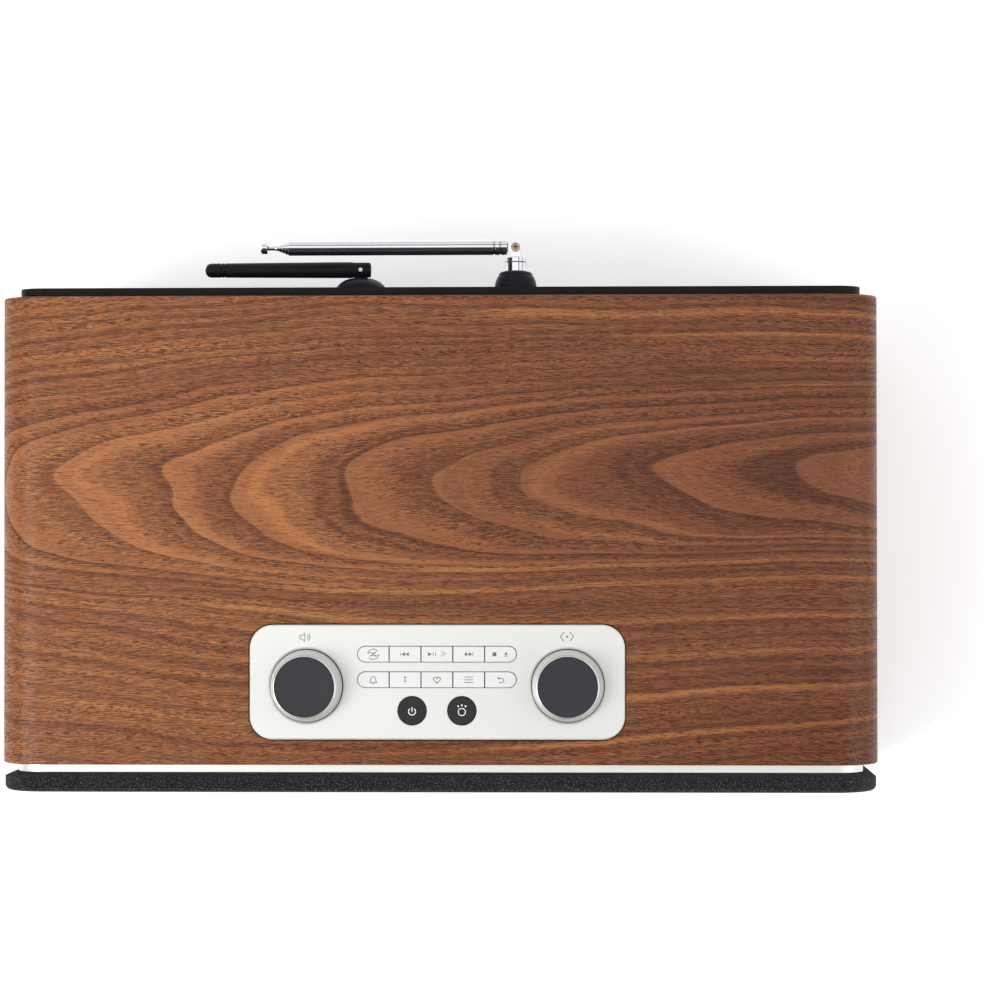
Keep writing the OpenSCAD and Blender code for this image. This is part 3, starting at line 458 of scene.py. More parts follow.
def make_signs(grey, white):
    """Every sign: white on the two dark keys, grey on the light keys and on the plate above the knobs."""
    sunk = INK_T * 0.2
    signs = {"shuffle": shuffle_sign(), "previous": skip_sign(1), "next": skip_sign(-1), "play": play_sign(),
             "stop": stop_sign(), "alarm": alarm_sign(), "info": info_sign(), "favourite": heart_sign(),
             "menu": menu_sign(), "back": back_sign(), "power": power_sign(), "source": source_sign()}
    for key, sign in signs.items():
        low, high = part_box("button_" + key)
        dark = key in ("power", "source")
        sign.build("sign_" + key, (low.x + high.x) / 2, (low.y + high.y) / 2, high.z - sunk,
                   "key_" + key, "white_key" if dark else "charcoal_key", white if dark else grey)
    for name, sign, x, y in (("sign_volume", volume_sign(), -62.6, 21.3),
                             ("sign_tuning", tuning_sign(), 61.6, 21.6)):
        sign.build(name, PLATE_X + x * MM, PLATE_Y + y * MM, plate_high.z - sunk, "cabinet",
                   "charcoal_key", grey)


# ---------------------------------------------------------------- materials

class Graph:
    """One material's nodes, built with short calls. Each value given is either a socket or a constant."""

    def __init__(self, name, **surface):
        self.material = bpy.data.materials.new(name)
        self.material.use_nodes = True
        self.tree = self.material.node_tree
        self.tree.nodes.clear()
        self.bsdf = self.node("BsdfPrincipled")
        out = self.node("OutputMaterial")
        self.tree.links.new(self.bsdf.outputs[0], out.inputs["Surface"])
        self.place = self.node("TexCoord").outputs["Object"]
        self.surface(**surface)

    def node(self, kind, **settings):
        made = self.tree.nodes.new("ShaderNode" + kind)
        for key, value in settings.items():
            setattr(made, key, value)
        return made

    def put(self, socket, value):
        if isinstance(value, bpy.types.NodeSocket):
            self.tree.links.new(value, socket)
        else:
            socket.default_value = value

    def surface(self, **values):
        for key, value in values.items():
            if key == "Base Color" and isinstance(value, tuple) and len(value) == 3:
                value = value + (1.0,)
            self.put(self.bsdf.inputs[key], value)

    def math(self, operation, a, b=0.0, clamp=False):
        made = self.node("Math", operation=operation, use_clamp=clamp)
        self.put(made.inputs[0], a)
        self.put(made.inputs[1], b)
        return made.outputs[0]

    def split(self, vector):
        made = self.node("SeparateXYZ")
        self.put(made.inputs[0], vector)
        return made.outputs[0], made.outputs[1], made.outputs[2]

    def join(self, x, y, z=0.0):
        made = self.node("CombineXYZ")
        for socket, value in zip(made.inputs, (x, y, z)):
            self.put(socket, value)
        return made.outputs[0]

    def stretch(self, vector, scale):
        made = self.node("Mapping")
        self.put(made.inputs["Vector"], vector)
        made.inputs["Scale"].default_value = scale
        return made.outputs[0]

    def noise(self, vector, scale, detail=2.0, rough=0.5):
        made = self.node("TexNoise")
        self.put(made.inputs["Vector"], vector)
        self.put(made.inputs["Scale"], scale)
        self.put(made.inputs["Detail"], detail)
        self.put(made.inputs["Roughness"], rough)
        return made.outputs["Fac"]

    def fit(self, value, low, high, to_low=0.0, to_high=1.0):
        made = self.node("MapRange", clamp=True, interpolation_type="SMOOTHSTEP")
        for socket, v in zip(made.inputs, (value, low, high, to_low, to_high)):
            self.put(socket, v)
        return made.outputs[0]

    def curve(self, value, points):
        """A curve of straight pieces through (in, out) points, both 0 to 1."""
        made = self.node("FloatCurve")
        self.put(made.inputs["Value"], value)
        line = made.mapping.curves[0]
        line.points[0].location = points[0]
        line.points[1].location = points[-1]
        for point in points[1:-1]:
            line.points.new(*point)
        for point in line.points:
            point.handle_type = "VECTOR"
        made.mapping.update()
        return made.outputs[0]

    def mix(self, factor, a, b, blend="MIX"):
        made = self.node("Mix", data_type="RGBA", blend_type=blend)
        self.put(made.inputs[0], factor)
        for socket, v in ((made.inputs[6], a), (made.inputs[7], b)):
            self.put(socket, v + (1.0,) if isinstance(v, tuple) and len(v) == 3 else v)
        return made.outputs[2]

    def bevel(self, radius):
        made = self.node("Bevel", samples=3)
        made.inputs["Radius"].default_value = radius
        return made.outputs[0]

    def bump(self, height, distance, strength=1.0, normal=None):
        made = self.node("Bump")
        made.inputs["Distance"].default_value = distance
        made.inputs["Strength"].default_value = strength
        self.put(made.inputs["Height"], height)
        if normal is not None:
            self.put(made.inputs["Normal"], normal)
        return made.outputs[0]

    def edge(self, rounded):
        """1 on edges, 0 on flat faces: how far the rounded normal leans from the true one."""
        dot = self.node("VectorMath", operation="DOT_PRODUCT")
        self.put(dot.inputs[0], rounded)
        self.put(dot.inputs[1], self.node("NewGeometry").outputs["True Normal"])
        return self.fit(dot.outputs["Value"], 0.995, 0.85)


# The walnut figure, in millimetres: growth rings round an axis below the board, which rises to the right
AXIS_Y = 17.0
AXIS_DRIFT = 5.0
AXIS_DEPTH = 37.3
AXIS_RISE = 0.115
LEAST_DEPTH = 6.0
NARROWING = 0.0009
WAVER = 7.0
RIPPLE = 2.5
# The front half is drawn out near the axis, by this factor, and makes up for it between these distances
FRONT_FACTOR = 0.6
FRONT_NEAR = 32.0
FRONT_FAR = 66.0
FRONT_MAKE_UP = 25.6
# Its rings: a plain heart, then rings that narrow outwards on the whole
HEART_R = 18
RING_COUNT = 24
HEART_RING = 7
OUTER_RING = 4
RING_SWING = 0.25
# Colours at the board's left and right ends; the fall between them is partly the veneer's own colour and
# partly painted light falling off away from the lamp on the left
LIGHT_WOOD = ((0.455, 0.180, 0.067), (0.232, 0.080, 0.034))
DARK_WOOD = ((0.205, 0.069, 0.031), (0.107, 0.035, 0.017))
GOLD_WOOD = ((0.50, 0.225, 0.066), (0.33, 0.120, 0.038))
PORE_WOOD = ((0.062, 0.022, 0.012), (0.035, 0.013, 0.009))


def ring_borders():
    """Radii where growth rings meet: narrower outwards on the whole, with wide and narrow years."""
    borders = [0.0, float(HEART_R)]
    for k in range(RING_COUNT - 1):
        width = OUTER_RING + (HEART_RING - OUTER_RING) * math.exp(-k / 4)
        borders.append(borders[-1] + width * (1 + RING_SWING * math.sin(2.2 * k)))
    return borders


def pale_streaks(borders):
    """Pale streaks just inside every third border, from the eighth on, behind and ahead of the axis.

    Each is (side, radius, half width, strength, where along the board it starts, where it is full).
    """
    for way in (1, -1):
        for k in range(7, len(borders), 3):
            turn = 1.9 * k + way
            half = 2.0 + 0.7 * math.cos(turn)
            strength = 0.85 + 0.15 * math.cos(2 * turn)
            start = 130 * math.sin(turn)
            yield way, borders[k] - 1.5, half, strength, start, start + 50


def board_place(g):
    """Places along and across the board in millimetres, as if the sleeve's sides were folded out flat."""
    x, y, z = g.split(g.place)
    drop = g.math("SUBTRACT", sleeve_high.z, z)
    along = g.math("MULTIPLY", g.math("ADD", x, g.math("MULTIPLY", g.math("SIGN", x), drop)), 1000.0)
    return along, g.math("MULTIPLY", y, 1000.0)


def figure_radius(g, along, across, flat):
    """Distances from the figure's axis: across the board with its sign, without it, and in all."""
    # slow waver of the grain, and a tighter ripple
    waver = g.math("SUBTRACT", g.noise(g.stretch(flat, (0.006, 0.011, 1)), 1.0, 1.0, 0.4), 0.5)
    ripple = g.math("SUBTRACT", g.noise(g.stretch(flat, (0.016, 0.032, 1)), 1.0, 1.0, 0.45), 0.5)
    # to the right the axis drifts towards the back, and the figure narrows
    right = g.math("MAXIMUM", g.math("ADD", along, 50.0), 0.0)
    middle = g.math("ADD", AXIS_Y, g.fit(along, -50.0, 200.0, 0.0, AXIS_DRIFT))
    off = g.math("SUBTRACT", across, middle)
    off = g.math("MULTIPLY", off, g.math("ADD", 1.0, g.math("MULTIPLY", right, NARROWING)))
    off = g.math("ADD", off, g.math("MULTIPLY", waver, WAVER))
    behind = g.math("MAXIMUM", off, 0.0)
    ahead = g.math("MAXIMUM", g.math("MULTIPLY", off, -1.0), 0.0)
    make_up = g.fit(ahead, FRONT_NEAR, FRONT_FAR, 0.0, FRONT_MAKE_UP)
    away = g.math("ADD", behind, g.math("ADD", g.math("MULTIPLY", ahead, FRONT_FACTOR), make_up))
    depth = g.math("SUBTRACT", AXIS_DEPTH, g.math("MULTIPLY", along, AXIS_RISE))
    depth = g.math("MAXIMUM", depth, LEAST_DEPTH)
    depth = g.math("ADD", depth, g.math("MULTIPLY", ripple, RIPPLE))
    squares = g.math("ADD", g.math("MULTIPLY", away, away), g.math("MULTIPLY", depth, depth))
    radius = g.math("ADD", g.math("SQRT", squares), g.math("MULTIPLY", ripple, RIPPLE))
    return off, away, radius


def ring_place(g, radius, borders):
    """Which growth ring a radius is in, and how far out through it, from 0 to 1."""
    last = len(borders) - 1
    steps = [(r / borders[-1], k / last) for k, r in enumerate(borders)]
    ring = g.math("MULTIPLY", g.curve(g.math("DIVIDE", radius, borders[-1]), steps), float(last))
    return g.math("FLOOR", ring), g.math("FRACT", ring)


def wood_tone(g, along, flat, away, radius, number, phase, fine):
    """How dark the wood is, from 0 to 1: lines and bands at the borders, then streaks and fibres."""
    own = g.noise(g.join(g.math("MULTIPLY", number, 7.31), 0.5), 1.0, 0.0, 0.5)
    # dark, porous wood starts sharply at each border and fades outwards into smooth wood
    line = g.math("MULTIPLY", g.fit(phase, 0.0, 0.04), g.fit(phase, 0.15, 0.05))
    band = g.math("MULTIPLY", g.fit(phase, 0.0, 0.05), g.fit(phase, 0.70, 0.05))
    strength = g.fit(own, 0.25, 0.65, 0.4, 1.0)
    strength = g.math("MULTIPLY", strength, g.fit(away, 20.0, 60.0, 1.0, 0.55))
    slow = g.join(g.math("MULTIPLY", radius, 0.075), g.math("MULTIPLY", along, 0.0045), 5.0)
    broad = g.noise(slow, 1.0, 2.0, 0.5)
    streak = g.noise(g.stretch(flat, (0.014, 0.9, 1)), 1.0, 3.0, 0.6)
    fibre = g.noise(g.stretch(flat, (0.035, 1.9, 1)), 1.0, 2.0, 0.6)
    tone = g.math("ADD", g.math("MULTIPLY", g.math("MULTIPLY", line, strength), 0.38),
                  g.math("MULTIPLY", g.math("MULTIPLY", band, strength), 0.24))
    tone = g.math("ADD", tone, g.math("MULTIPLY", g.fit(fine, 0.34, 0.66), 0.42))
    tone = g.math("ADD", tone, g.math("MULTIPLY", g.fit(broad, 0.34, 0.68), 0.26))
    tone = g.math("ADD", tone, g.math("MULTIPLY", g.math("SUBTRACT", streak, 0.5), 0.6))
    return g.math("ADD", tone, g.math("SUBTRACT", fibre, 0.45), clamp=True)


def pale_amount(g, along, off, radius, fine, borders):
    """How much of the pale streaks shows, from 0 to 1."""
    pale = 0.0
    for way, centre, half, amount, start, end in pale_streaks(borders):
        near = g.math("SUBTRACT", half, g.math("ABSOLUTE", g.math("SUBTRACT", radius, centre)))
        near = g.fit(near, 0.0, half * 0.8, 0.0, amount)
        side = g.math("GREATER_THAN", g.math("MULTIPLY", off, float(way)), 0.0)
        run = g.fit(along, start, end)
        pale = g.math("MAXIMUM", pale, g.math("MULTIPLY", near, g.math("MULTIPLY", side, run)))
    return g.math("MULTIPLY", pale, g.fit(fine, 0.72, 0.35, 0.45, 1.0))


def pore_amount(g, along, across, flat, away, phase, pale):
    """Pores: short dark dashes along the grain, dense at each border and sparse in the smooth wood."""
    lean = g.noise(g.stretch(flat, (0.012, 0.02, 1)), 1.0, 1.0, 0.5)
    row = g.math("ADD", across, g.math("MULTIPLY", lean, 16.0))
    # neighbouring rows of pores start at unlike places
    start = g.noise(g.join(g.math("MULTIPLY", row, 1.7), 3.1), 1.0, 0.0, 0.5)
    tilted = g.join(g.math("ADD", along, g.math("MULTIPLY", start, 26.0)), row)
    dash = g.noise(g.stretch(tilted, (0.24, 1.9, 1)), 1.0, 1.0, 0.5)
    small = g.noise(g.stretch(tilted, (0.47, 3.1, 1)), 1.0, 1.0, 0.5)
    dense = g.math("MAXIMUM", g.fit(phase, 0.95, 0.25, 0.0, 1.0), g.fit(away, 25.0, 60.0, 0.0, 0.75))
    dense = g.math("MULTIPLY", dense, g.math("SUBTRACT", 1.0, g.math("MULTIPLY", pale, 0.8)))
    edge = g.math("SUBTRACT", 0.615, g.math("MULTIPLY", dense, 0.115))
    pore = g.fit(g.math("SUBTRACT", dash, edge), 0.0, 0.06)
    speck = g.fit(g.math("SUBTRACT", small, edge), 0.0, 0.08)
    return g.math("MAXIMUM", pore, g.math("MULTIPLY", speck, 0.8))


def wood_colour(g, along, flat, fine, tone, pale, holes):
    """The board runs from golden on the left to a darker red brown on the right: partly the veneer's own
    colour, partly painted light falling off away from the left.
    """
    to_right = g.fit(along, -260.0, 240.0)
    light = g.mix(to_right, *LIGHT_WOOD)
    dark = g.mix(to_right, *DARK_WOOD)
    gold = g.mix(to_right, *GOLD_WOOD)
    colour = g.mix(tone, light, dark)
    colour = g.mix(g.fit(fine, 0.46, 0.26, 0.0, 0.4), colour, gold)
    colour = g.mix(g.math("MULTIPLY", pale, 0.85), colour, gold)
    colour = g.mix(g.math("MULTIPLY", holes, 0.86), colour, g.mix(to_right, *PORE_WOOD))
    # painted sheen: cloudy lighter patches across the grain, mixed into the colour
    painted_sheen = g.noise(g.stretch(flat, (0.05, 0.03, 1)), 1.0, 2.0, 0.5)
    return g.mix(g.math("MULTIPLY", g.fit(painted_sheen, 0.4, 0.75), 0.14), colour, (0.55, 0.25, 0.10), "SOFT_LIGHT")


def make_walnut():
    """Flat-cut walnut: a cone of growth rings opening to the right, unrolled over the sleeve's corners."""
    g = Graph("walnut_veneer")
    along, across = board_place(g)
    flat = g.join(along, across)
    off, away, radius = figure_radius(g, along, across, flat)
    borders = ring_borders()
    number, phase = ring_place(g, radius, borders)
    thin = g.join(g.math("MULTIPLY", radius, 0.62), g.math("MULTIPLY", along, 0.004))
    fine = g.noise(thin, 1.0, 4.0, 0.62)
    tone = wood_tone(g, along, flat, away, radius, number, phase, fine)
    pale = pale_amount(g, along, off, radius, fine, borders)
    holes = pore_amount(g, along, across, flat, away, phase, pale)
    height = g.math("SUBTRACT", g.math("MULTIPLY", fine, 0.35), holes)
    dull = g.math("ADD", g.math("MULTIPLY", holes, 0.22), g.math("MULTIPLY", tone, 0.08))
    g.surface(**{"Base Color": wood_colour(g, along, flat, fine, tone, pale, holes),
                 "Roughness": g.math("ADD", 0.36, dull), "Specular IOR Level": 0.08,
                 "Coat Weight": 0.2, "Coat Roughness": 0.27,
                 "Normal": g.bump(height, 0.00008, 0.6)})
    return g.material


def make_walnut_edge():
    """The solid lipping on the sleeve's open ends: straight grain that follows the edge round its corners."""
    g = Graph("walnut_edge")
    x, y, z = g.split(g.place)
    over_x = g.math("SUBTRACT", g.math("ABSOLUTE", x), CABINET_W / 2 - CORNER_R)
    from_middle = g.math("ABSOLUTE", g.math("SUBTRACT", z, MID_Z))
    over_z = g.math("SUBTRACT", from_middle, CABINET_H / 2 - CORNER_R)
    corner = g.node("VectorMath", operation="LENGTH")
    g.put(corner.inputs[0], g.join(g.math("MAXIMUM", over_x, 0.0), g.math("MAXIMUM", over_z, 0.0)))
    inwards = g.math("MULTIPLY", corner.outputs["Value"], 1000.0)
    round_the_edge = g.math("MULTIPLY", g.math("ADD", x, z), 1000.0)
    grain = g.join(inwards, round_the_edge, y)
    lines = g.noise(g.stretch(grain, (1.1, 0.012, 1)), 1.0, 3.0, 0.6)
    pores = g.noise(g.stretch(grain, (2.6, 0.25, 1)), 1.0, 1.0, 0.5)
    colour = g.mix(g.fit(lines, 0.3, 0.7), (0.150, 0.055, 0.027), (0.062, 0.023, 0.014))
    holes = g.fit(pores, 0.56, 0.68)
    colour = g.mix(g.math("MULTIPLY", holes, 0.6), colour, (0.03, 0.012, 0.008))
    g.surface(**{"Base Color": colour, "Roughness": g.fit(lines, 0.2, 0.8, 0.42, 0.55),
                 "Specular IOR Level": 0.2,
                 "Normal": g.bump(g.math("SUBTRACT", lines, holes), 0.00006, 0.6)})
    return g.material


def make_cloth_material():
    """Plain-woven loudspeaker cloth, with painted glints: small bright specks mixed into its colour."""
    g = Graph("grille_weave")
    x, y, z = g.split(g.place)
    around = g.math("ADD", z, y)
    pitch = 0.75 * MM
    warp = g.math("SINE", g.math("MULTIPLY", x, 2 * math.pi / pitch))
    weft = g.math("SINE", g.math("MULTIPLY", around, 2 * math.pi / pitch))
    weave = g.math("MULTIPLY", warp, weft)
    fuzz = g.noise(g.place, 2600.0, 3.0, 0.7)
    # painted glints: small bright specks put into the colour
    painted_glint = g.fit(g.noise(g.place, 1500.0, 2.0, 0.6), 0.55, 0.66)
    colour = g.mix(g.fit(weave, -0.9, 0.9), (0.0028, 0.0026, 0.0034), (0.0100, 0.0094, 0.0118))
    mottle = g.noise(g.place, 420.0, 4.0, 0.7)
    colour = g.mix(g.fit(mottle, 0.42, 0.66), colour, (0.015, 0.0142, 0.0175))
    colour = g.mix(g.math("MULTIPLY", painted_glint, 0.8), colour, (0.15, 0.145, 0.165))
    # painted shade: the colour darkens where the cloth turns in against the trim, set by the ambient
    # occlusion
    open_sky = g.node("AmbientOcclusion", samples=6)
    open_sky.inputs["Distance"].default_value = 4 * MM
    painted_trim_shade = g.math("MULTIPLY", g.fit(open_sky.outputs["AO"], 0.92, 0.6), 0.85)
    colour = g.mix(painted_trim_shade, colour, (0.001, 0.001, 0.0014))
    height = g.math("ADD", g.math("MULTIPLY", weave, 0.6), g.math("MULTIPLY", fuzz, 0.9))
    g.surface(**{"Base Color": colour, "Roughness": 0.82, "Sheen Weight": 0.06, "Sheen Roughness": 0.5,
                 "Specular IOR Level": 0.15, "Normal": g.bump(height, 0.0003, 0.9)})
    return g.material


def make_finish(name, base, rough, metallic=0.0, vary=0.08, grain=1800.0, depth=0.00002, stretch=(1, 1, 1),
                edge_r=0.25, wear=None, wear_by=0.5, painted_recess_shade=0.0, **more):
    """A moulded, painted or metal surface: fine grain, uneven gloss and colour, eased edges with wear.

    edge_r is in millimetres; the argument after wear_by sets how much painted shade darkens corners and
    grooves, set by the ambient occlusion.
    """
    g = Graph(name)
    rounded = g.bevel(edge_r * MM)
    fine = g.noise(g.stretch(g.place, stretch), grain, 3.0, 0.6)
    broad = g.noise(g.place, 35.0, 2.0, 0.5)
    smear = g.noise(g.stretch(g.place, (1, 1, 0.4)), 120.0, 2.0, 0.6)
    darker = tuple(c * (1 - vary) for c in base)
    lighter = tuple(min(1.0, c * (1 + vary)) for c in base)
    tone = g.math("ADD", g.math("MULTIPLY", fine, 0.5), g.math("MULTIPLY", broad, 0.5))
    colour = g.mix(g.fit(tone, 0.3, 0.7), darker, lighter)
    worn = g.math("MULTIPLY", g.edge(rounded), g.fit(smear, 0.35, 0.7, 0.35, 1.0))
    wear = wear or tuple(min(1.0, c * 1.6 + 0.02) for c in base)
    colour = g.mix(g.math("MULTIPLY", worn, wear_by), colour, wear)
    if painted_recess_shade:
        # painted shade: the colour darkens in corners and grooves, set by the ambient occlusion
        open_sky = g.node("AmbientOcclusion", samples=8, only_local=True)
        open_sky.inputs["Distance"].default_value = 0.9 * MM
        recess_shade_amount = g.math("MULTIPLY", g.fit(open_sky.outputs["AO"], 0.95, 0.6), painted_recess_shade)
        colour = g.mix(recess_shade_amount, colour, (0.012, 0.01, 0.008))
    uneven = g.math("ADD", g.math("MULTIPLY", smear, 0.08), g.math("MULTIPLY", worn, 0.04))
    g.surface(**{"Base Color": colour, "Roughness": g.math("ADD", rough - 0.04, uneven), "Metallic": metallic,
                 "Normal": g.bump(fine, depth, 0.6, rounded)}, **more)
    return g.material


def make_glass():
    """The dark display window, faintly smeared."""
    g = Graph("tinted_window")
    smear = g.noise(g.place, 60.0, 3.0, 0.6)
    tint = g.mix(g.fit(smear, 0.3, 0.7), (0.0135, 0.0155, 0.019), (0.0155, 0.018, 0.022))
    g.surface(**{"Base Color": tint, "Roughness": g.fit(smear, 0.2, 0.8, 0.05, 0.07),
                 "Specular IOR Level": 0.3, "Normal": g.bevel(0.3 * MM)})
    return g.material


def make_circuit():
    """A green board with copper tracks and parts in dark and light greys."""
    g = Graph("circuit_board")
    cell = g.node("TexVoronoi", feature="F1", distance="CHEBYCHEV")
    g.put(cell.inputs["Vector"], g.place)
    cell.inputs["Scale"].default_value = 260.0
    line = g.node("TexVoronoi", feature="DISTANCE_TO_EDGE")
    g.put(line.inputs["Vector"], g.place)
    line.inputs["Scale"].default_value = 180.0
    track = g.fit(line.outputs["Distance"], 0.06, 0.03)
    part = g.fit(cell.outputs["Distance"], 0.24, 0.18)
    colour = g.mix(g.noise(g.place, 50.0), (0.012, 0.085, 0.035), (0.02, 0.13, 0.055))
    colour = g.mix(g.math("MULTIPLY", track, 0.6), colour, (0.05, 0.26, 0.10))
    colour = g.mix(part, colour, (0.10, 0.10, 0.10))
    g.surface(**{"Base Color": colour, "Roughness": g.fit(part, 0.0, 1.0, 0.32, 0.55),
                 "Normal": g.bump(g.math("ADD", track, g.math("MULTIPLY", part, 3.0)), 0.0001, 0.8)})
    return g.material


def make_finishes():
    """Every plain finish by its short name."""
    silver = dict(rough=0.42, metallic=0.5, vary=0.015, wear=(1.0, 1.0, 0.98), wear_by=0.5)
    dull = {"Specular IOR Level": 0.12}
    return {
        "silver_plate": make_finish("silver_plate", (0.70, 0.70, 0.675), grain=2600.0, depth=0.000006,
                                    edge_r=0.35, **silver),
        "silver_knob": make_finish("silver_knob", (0.66, 0.665, 0.65), grain=2600.0, depth=0.000004,
                                   edge_r=0.25, **dict(silver, rough=0.3, metallic=1.0, wear_by=0.12)),
        "silver_trim": make_finish("silver_trim", (0.92, 0.93, 0.89), grain=900.0, depth=0.000008,
                                   stretch=(0.03, 1, 1), edge_r=0.3, **silver),
        "slate": make_finish("slate_disc", (0.034, 0.036, 0.040), 0.45, 0.0, 0.05, 2400.0, 0.000008,
                             wear_by=0.2, **dull),
        "white": make_finish("white_key", (0.70, 0.70, 0.685), 0.36, 0.0, 0.02, 2200.0, 0.000006, edge_r=0.4,
                             wear=(1.0, 1.0, 1.0), wear_by=0.35),
        "charcoal": make_finish("charcoal_key", (0.026, 0.026, 0.0255), 0.45, 0.0, 0.06, 2200.0, 0.000008,
                                edge_r=0.4, wear_by=0.2, **dull),
        "black": make_finish("black_moulding", (0.0065, 0.0065, 0.0065), 0.5, 0.0, 0.15, 1500.0, 0.00004,
                             edge_r=0.4, wear_by=0.15, **dull),
        "gloss": make_finish("gloss_black", (0.005, 0.005, 0.006), 0.12, 0.0, 0.2, 400.0, 0.000004,
                             edge_r=0.5, wear_by=0.2, **{"Specular IOR Level": 0.25}),
        "boot": make_finish("blue_black_boot", (0.0065, 0.007, 0.0105), 0.42, 0.0, 0.12, 1700.0, 0.00003,
                            edge_r=0.4, wear=(0.03, 0.032, 0.045), wear_by=0.3, **dull),
        "chrome": make_finish("polished_chrome", (0.70, 0.71, 0.745), 0.08, 1.0, 0.03, 300.0, 0.000002,
                              edge_r=0.12, wear=(0.8, 0.8, 0.8), wear_by=0.15, painted_recess_shade=0.9),
        "nickel": make_finish("aged_nickel", (0.34, 0.28, 0.21), 0.28, 1.0, 0.12, 1400.0, 0.00001,
                              edge_r=0.12, wear=(0.9, 0.86, 0.78), wear_by=0.8, painted_recess_shade=1.0),
        "rubber": make_finish("foot_rubber", (0.02, 0.02, 0.021), 0.75, 0.0, 0.2, 900.0, 0.00006,
                              wear_by=0.2),
        "steel": make_finish("zinc_plate", (0.55, 0.56, 0.58), 0.38, 1.0, 0.1, 500.0, 0.00001,
                             stretch=(0.15, 1, 1), wear_by=0.3),
        "dark_steel": make_finish("blackened_steel", (0.035, 0.035, 0.038), 0.4, 0.6, 0.15, 1400.0, 0.00001,
                                  wear=(0.35, 0.35, 0.36), wear_by=0.5),
        "ferrite": make_finish("ferrite", (0.05, 0.052, 0.056), 0.6, 0.3, 0.25, 700.0, 0.00005),
        "cone": make_finish("pulp_cone", (0.03, 0.03, 0.032), 0.7, 0.0, 0.3, 600.0, 0.00012,
                            stretch=(1, 0.3, 1)),
        "mdf": make_finish("raw_board", (0.33, 0.22, 0.12), 0.8, 0.0, 0.2, 450.0, 0.00008),
        "black_board": make_finish("black_board", (0.012, 0.012, 0.012), 0.7, 0.0, 0.3, 600.0, 0.00006),
        "natural": make_finish("natural_plastic", (0.72, 0.68, 0.58), 0.45, 0.0, 0.05, 1500.0, 0.00001),
        "glass": make_glass(),
        "circuit": make_circuit(),
    }


# The CAD nodes that stay, by finish
USE = {
    "silver_plate": ["control_plate"],
    "silver_knob": ["volume_knob", "tuning_knob"],
    "silver_trim": ["front_trim"],
    "slate": ["volume_knob_cap", "tuning_knob_cap"],
    "white": ["button_" + k for k in ("shuffle", "previous", "play", "next", "stop", "alarm", "info",
                                       "favourite", "menu", "back")],
    "charcoal": ["button_power", "button_source"],
    "black": ["back_panel", "grille_frame", "bass_ports", "mains_inlet", "button_frame"],
    "gloss": ["fascia"],
    "boot": ["aerial_boot", "wifi_base", "wifi_stick"],
    "nickel": ["aerial_pivot_screw", "jack_sockets"],
    "chrome": ["aerial_swivel", "aerial_tube_1", "aerial_tube_2", "aerial_tube_3",
               "aerial_tube_4", "aerial_tip"],
    "rubber": ["feet", "woofer_suspensions"],
    "steel": ["cd_drive", "heat_sink", "usb_socket", "encoders", "volume_shaft", "tuning_shaft",
              "wifi_pin"],
    "dark_steel": ["case_screws", "woofer_baskets"],
    "ferrite": ["woofer_magnets"],
    "cone": ["left_woofer_cone", "right_woofer_cone", "tweeters"],
    "mdf": ["inner_dividers"],
    "black_board": ["front_baffle"],
    "natural": ["tuning_plunger"],
    "glass": ["display_lens"],
    "circuit": ["display_module", "main_board", "power_supply", "control_board"],
}


def paint():
    """Gives every CAD node that stays its material."""
    made = make_finishes()
    for key, names in USE.items():
        for name in names:
            mesh = nodes[name].data
            mesh.materials.clear()
            mesh.materials.append(made[key])


# ---------------------------------------------------------------- studio

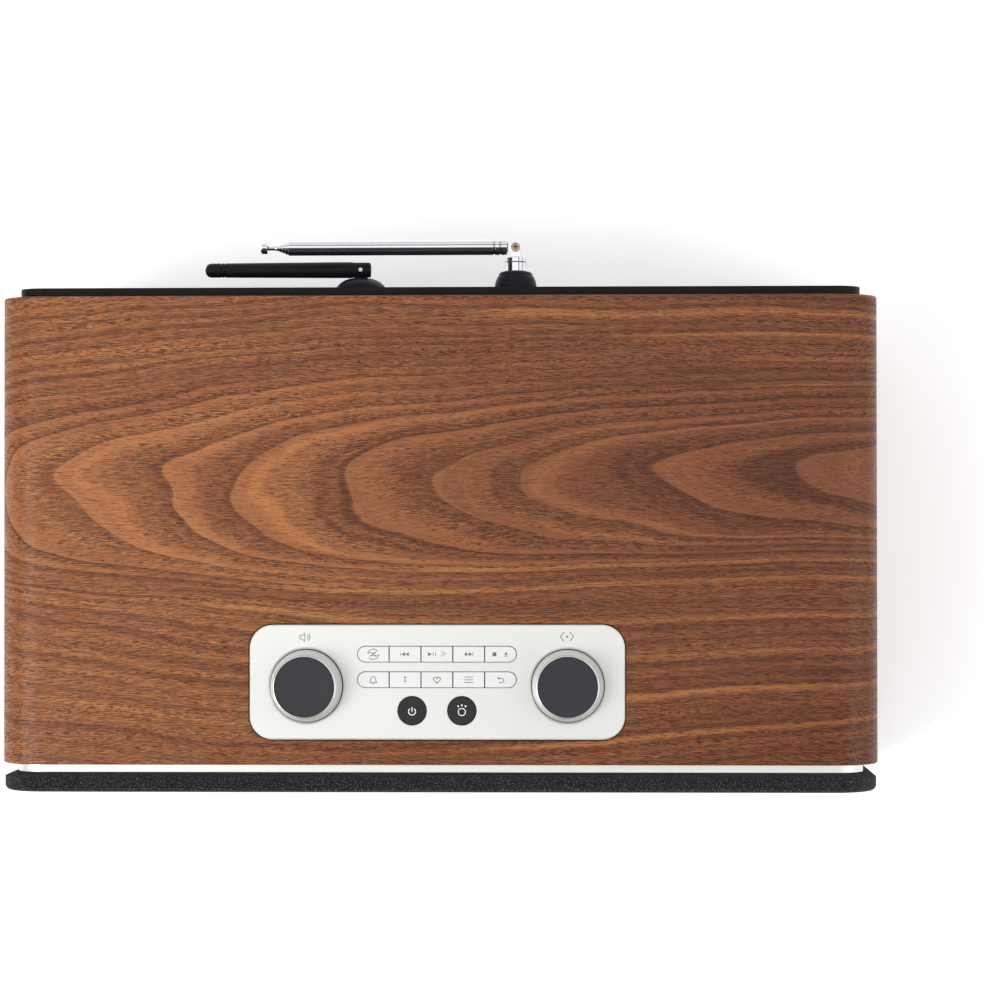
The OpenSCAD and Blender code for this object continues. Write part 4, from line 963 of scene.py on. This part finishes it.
def make_world():
    """A white studio, greyer near the horizon, with dark cards overhead and at the sides for the chrome."""
    world = bpy.data.worlds.new("studio")
    scene.world = world
    world.use_nodes = True
    tree = world.node_tree
    tree.nodes.clear()
    out = tree.nodes.new("ShaderNodeOutputWorld")
    background = tree.nodes.new("ShaderNodeBackground")
    tree.links.new(background.outputs[0], out.inputs[0])
    coord = tree.nodes.new("ShaderNodeTexCoord")
    split = tree.nodes.new("ShaderNodeSeparateXYZ")
    tree.links.new(coord.outputs["Generated"], split.inputs[0])

    def math_node(operation, a, b=0.5, c=0.5):
        made = tree.nodes.new("ShaderNodeMath")
        made.operation = operation
        for socket, value in zip(made.inputs, (a, b, c)):
            if isinstance(value, bpy.types.NodeSocket):
                tree.links.new(value, socket)
            else:
                socket.default_value = value
        return made.outputs[0]

    def band(value, stops):
        """Grey levels at places between -1 and 1 along one direction."""
        ramp = tree.nodes.new("ShaderNodeValToRGB")
        ends = ramp.color_ramp.elements
        for element, (place, level) in zip((ends[0], ends[1]), (stops[0], stops[-1])):
            element.position = place / 2 + 0.5
            element.color = (level, level, level, 1)
        for place, level in stops[1:-1]:
            ends.new(place / 2 + 0.5).color = (level, level, level, 1)
        tree.links.new(math_node("MULTIPLY_ADD", value), ramp.inputs[0])
        return ramp.outputs[0]

    height = band(split.outputs[2], [(-1, 0.9), (0, 0.62), (0.3, 0.58), (0.5, 0.95), (1, 1)])
    cards = band(split.outputs[1], [(-1, 0), (-0.97, 0), (-0.93, 1), (-0.12, 1), (-0.06, 0),
                                    (0.50, 0), (0.56, 0.85), (0.72, 0.85), (0.78, 0), (1, 0)])
    across = band(split.outputs[0], [(-1, 0), (-0.34, 0), (-0.24, 1), (0.24, 1), (0.34, 0), (1, 0)])
    sides = band(split.outputs[0], [(-1, 0), (-0.96, 0), (-0.92, 1), (-0.62, 1), (-0.57, 0),
                                    (0.50, 0), (0.53, 1), (0.62, 1), (0.65, 0), (1, 0)])
    along = band(split.outputs[1], [(-1, 0), (-0.30, 0), (-0.22, 1), (0.22, 1), (0.30, 0), (1, 0)])
    shade = math_node("MAXIMUM", math_node("MULTIPLY", cards, across), math_node("MULTIPLY", sides, along))
    shade = math_node("MULTIPLY", shade, 0.96)
    left = band(split.outputs[0], [(-1, 0.3), (-0.72, 0.3), (-0.5, 1), (1, 1)])
    level = math_node("MULTIPLY", math_node("MULTIPLY", height, left), math_node("SUBTRACT", 1.0, shade))
    tree.links.new(level, background.inputs["Color"])
    background.inputs["Strength"].default_value = 1.35


def make_light(name, place, aim, size, power):
    """A white rectangular lamp at place, turned towards aim; sizes in metres, power in watts."""
    data = bpy.data.lights.new(name, "AREA")
    data.shape = "RECTANGLE"
    data.size, data.size_y = size
    data.energy = power
    light = bpy.data.objects.new(name, data)
    scene.collection.objects.link(light)
    light.location = place
    light.rotation_euler = (Vector(aim) - Vector(place)).to_track_quat("-Z", "Y").to_euler()


def make_floor():
    """A wide, pale floor that glows a little, so that it renders near white."""
    bm = bmesh.new()
    bmesh.ops.create_grid(bm, x_segments=1, y_segments=1, size=6.0)
    mesh = bpy.data.meshes.new("floor")
    bm.to_mesh(mesh)
    bm.free()
    floor = bpy.data.objects.new("floor", mesh)
    scene.collection.objects.link(floor)
    g = Graph("pale_floor")
    g.surface(**{"Base Color": (0.95, 0.95, 0.95), "Roughness": 0.7, "Specular IOR Level": 0.2,
                 "Emission Color": (1.0, 1.0, 1.0, 1.0), "Emission Strength": 0.22})
    mesh.materials.append(g.material)


make_world()
make_floor()
make_light("key", (-1.65, -0.5, 2.05), (0, 0, 0.1), (1.1, 1.7), 36.0)
make_light("fill", (2.0, -0.4, 1.4), (0, 0, 0.1), (1.2, 1.8), 9.0)
scene.view_settings.view_transform = "Standard"
scene.view_settings.look = "None"

sleeve = make_sleeve()
sleeve.data.materials.clear()
sleeve.data.materials.append(make_walnut())
sleeve.data.materials.append(make_walnut_edge())
for face in sleeve.data.polygons:
    face.material_index = 1 if abs(face.normal.y) > 0.8 else 0
cloth = make_cloth()
cloth.data.materials.append(make_cloth_material())
paint()
make_signs(make_finish("grey_ink", (0.11, 0.11, 0.108), 0.5, 0.0, 0.05, 3000.0, 0.000003, edge_r=0.02),
           make_finish("white_ink", (0.85, 0.85, 0.83), 0.5, 0.0, 0.03, 3000.0, 0.000003, edge_r=0.02))
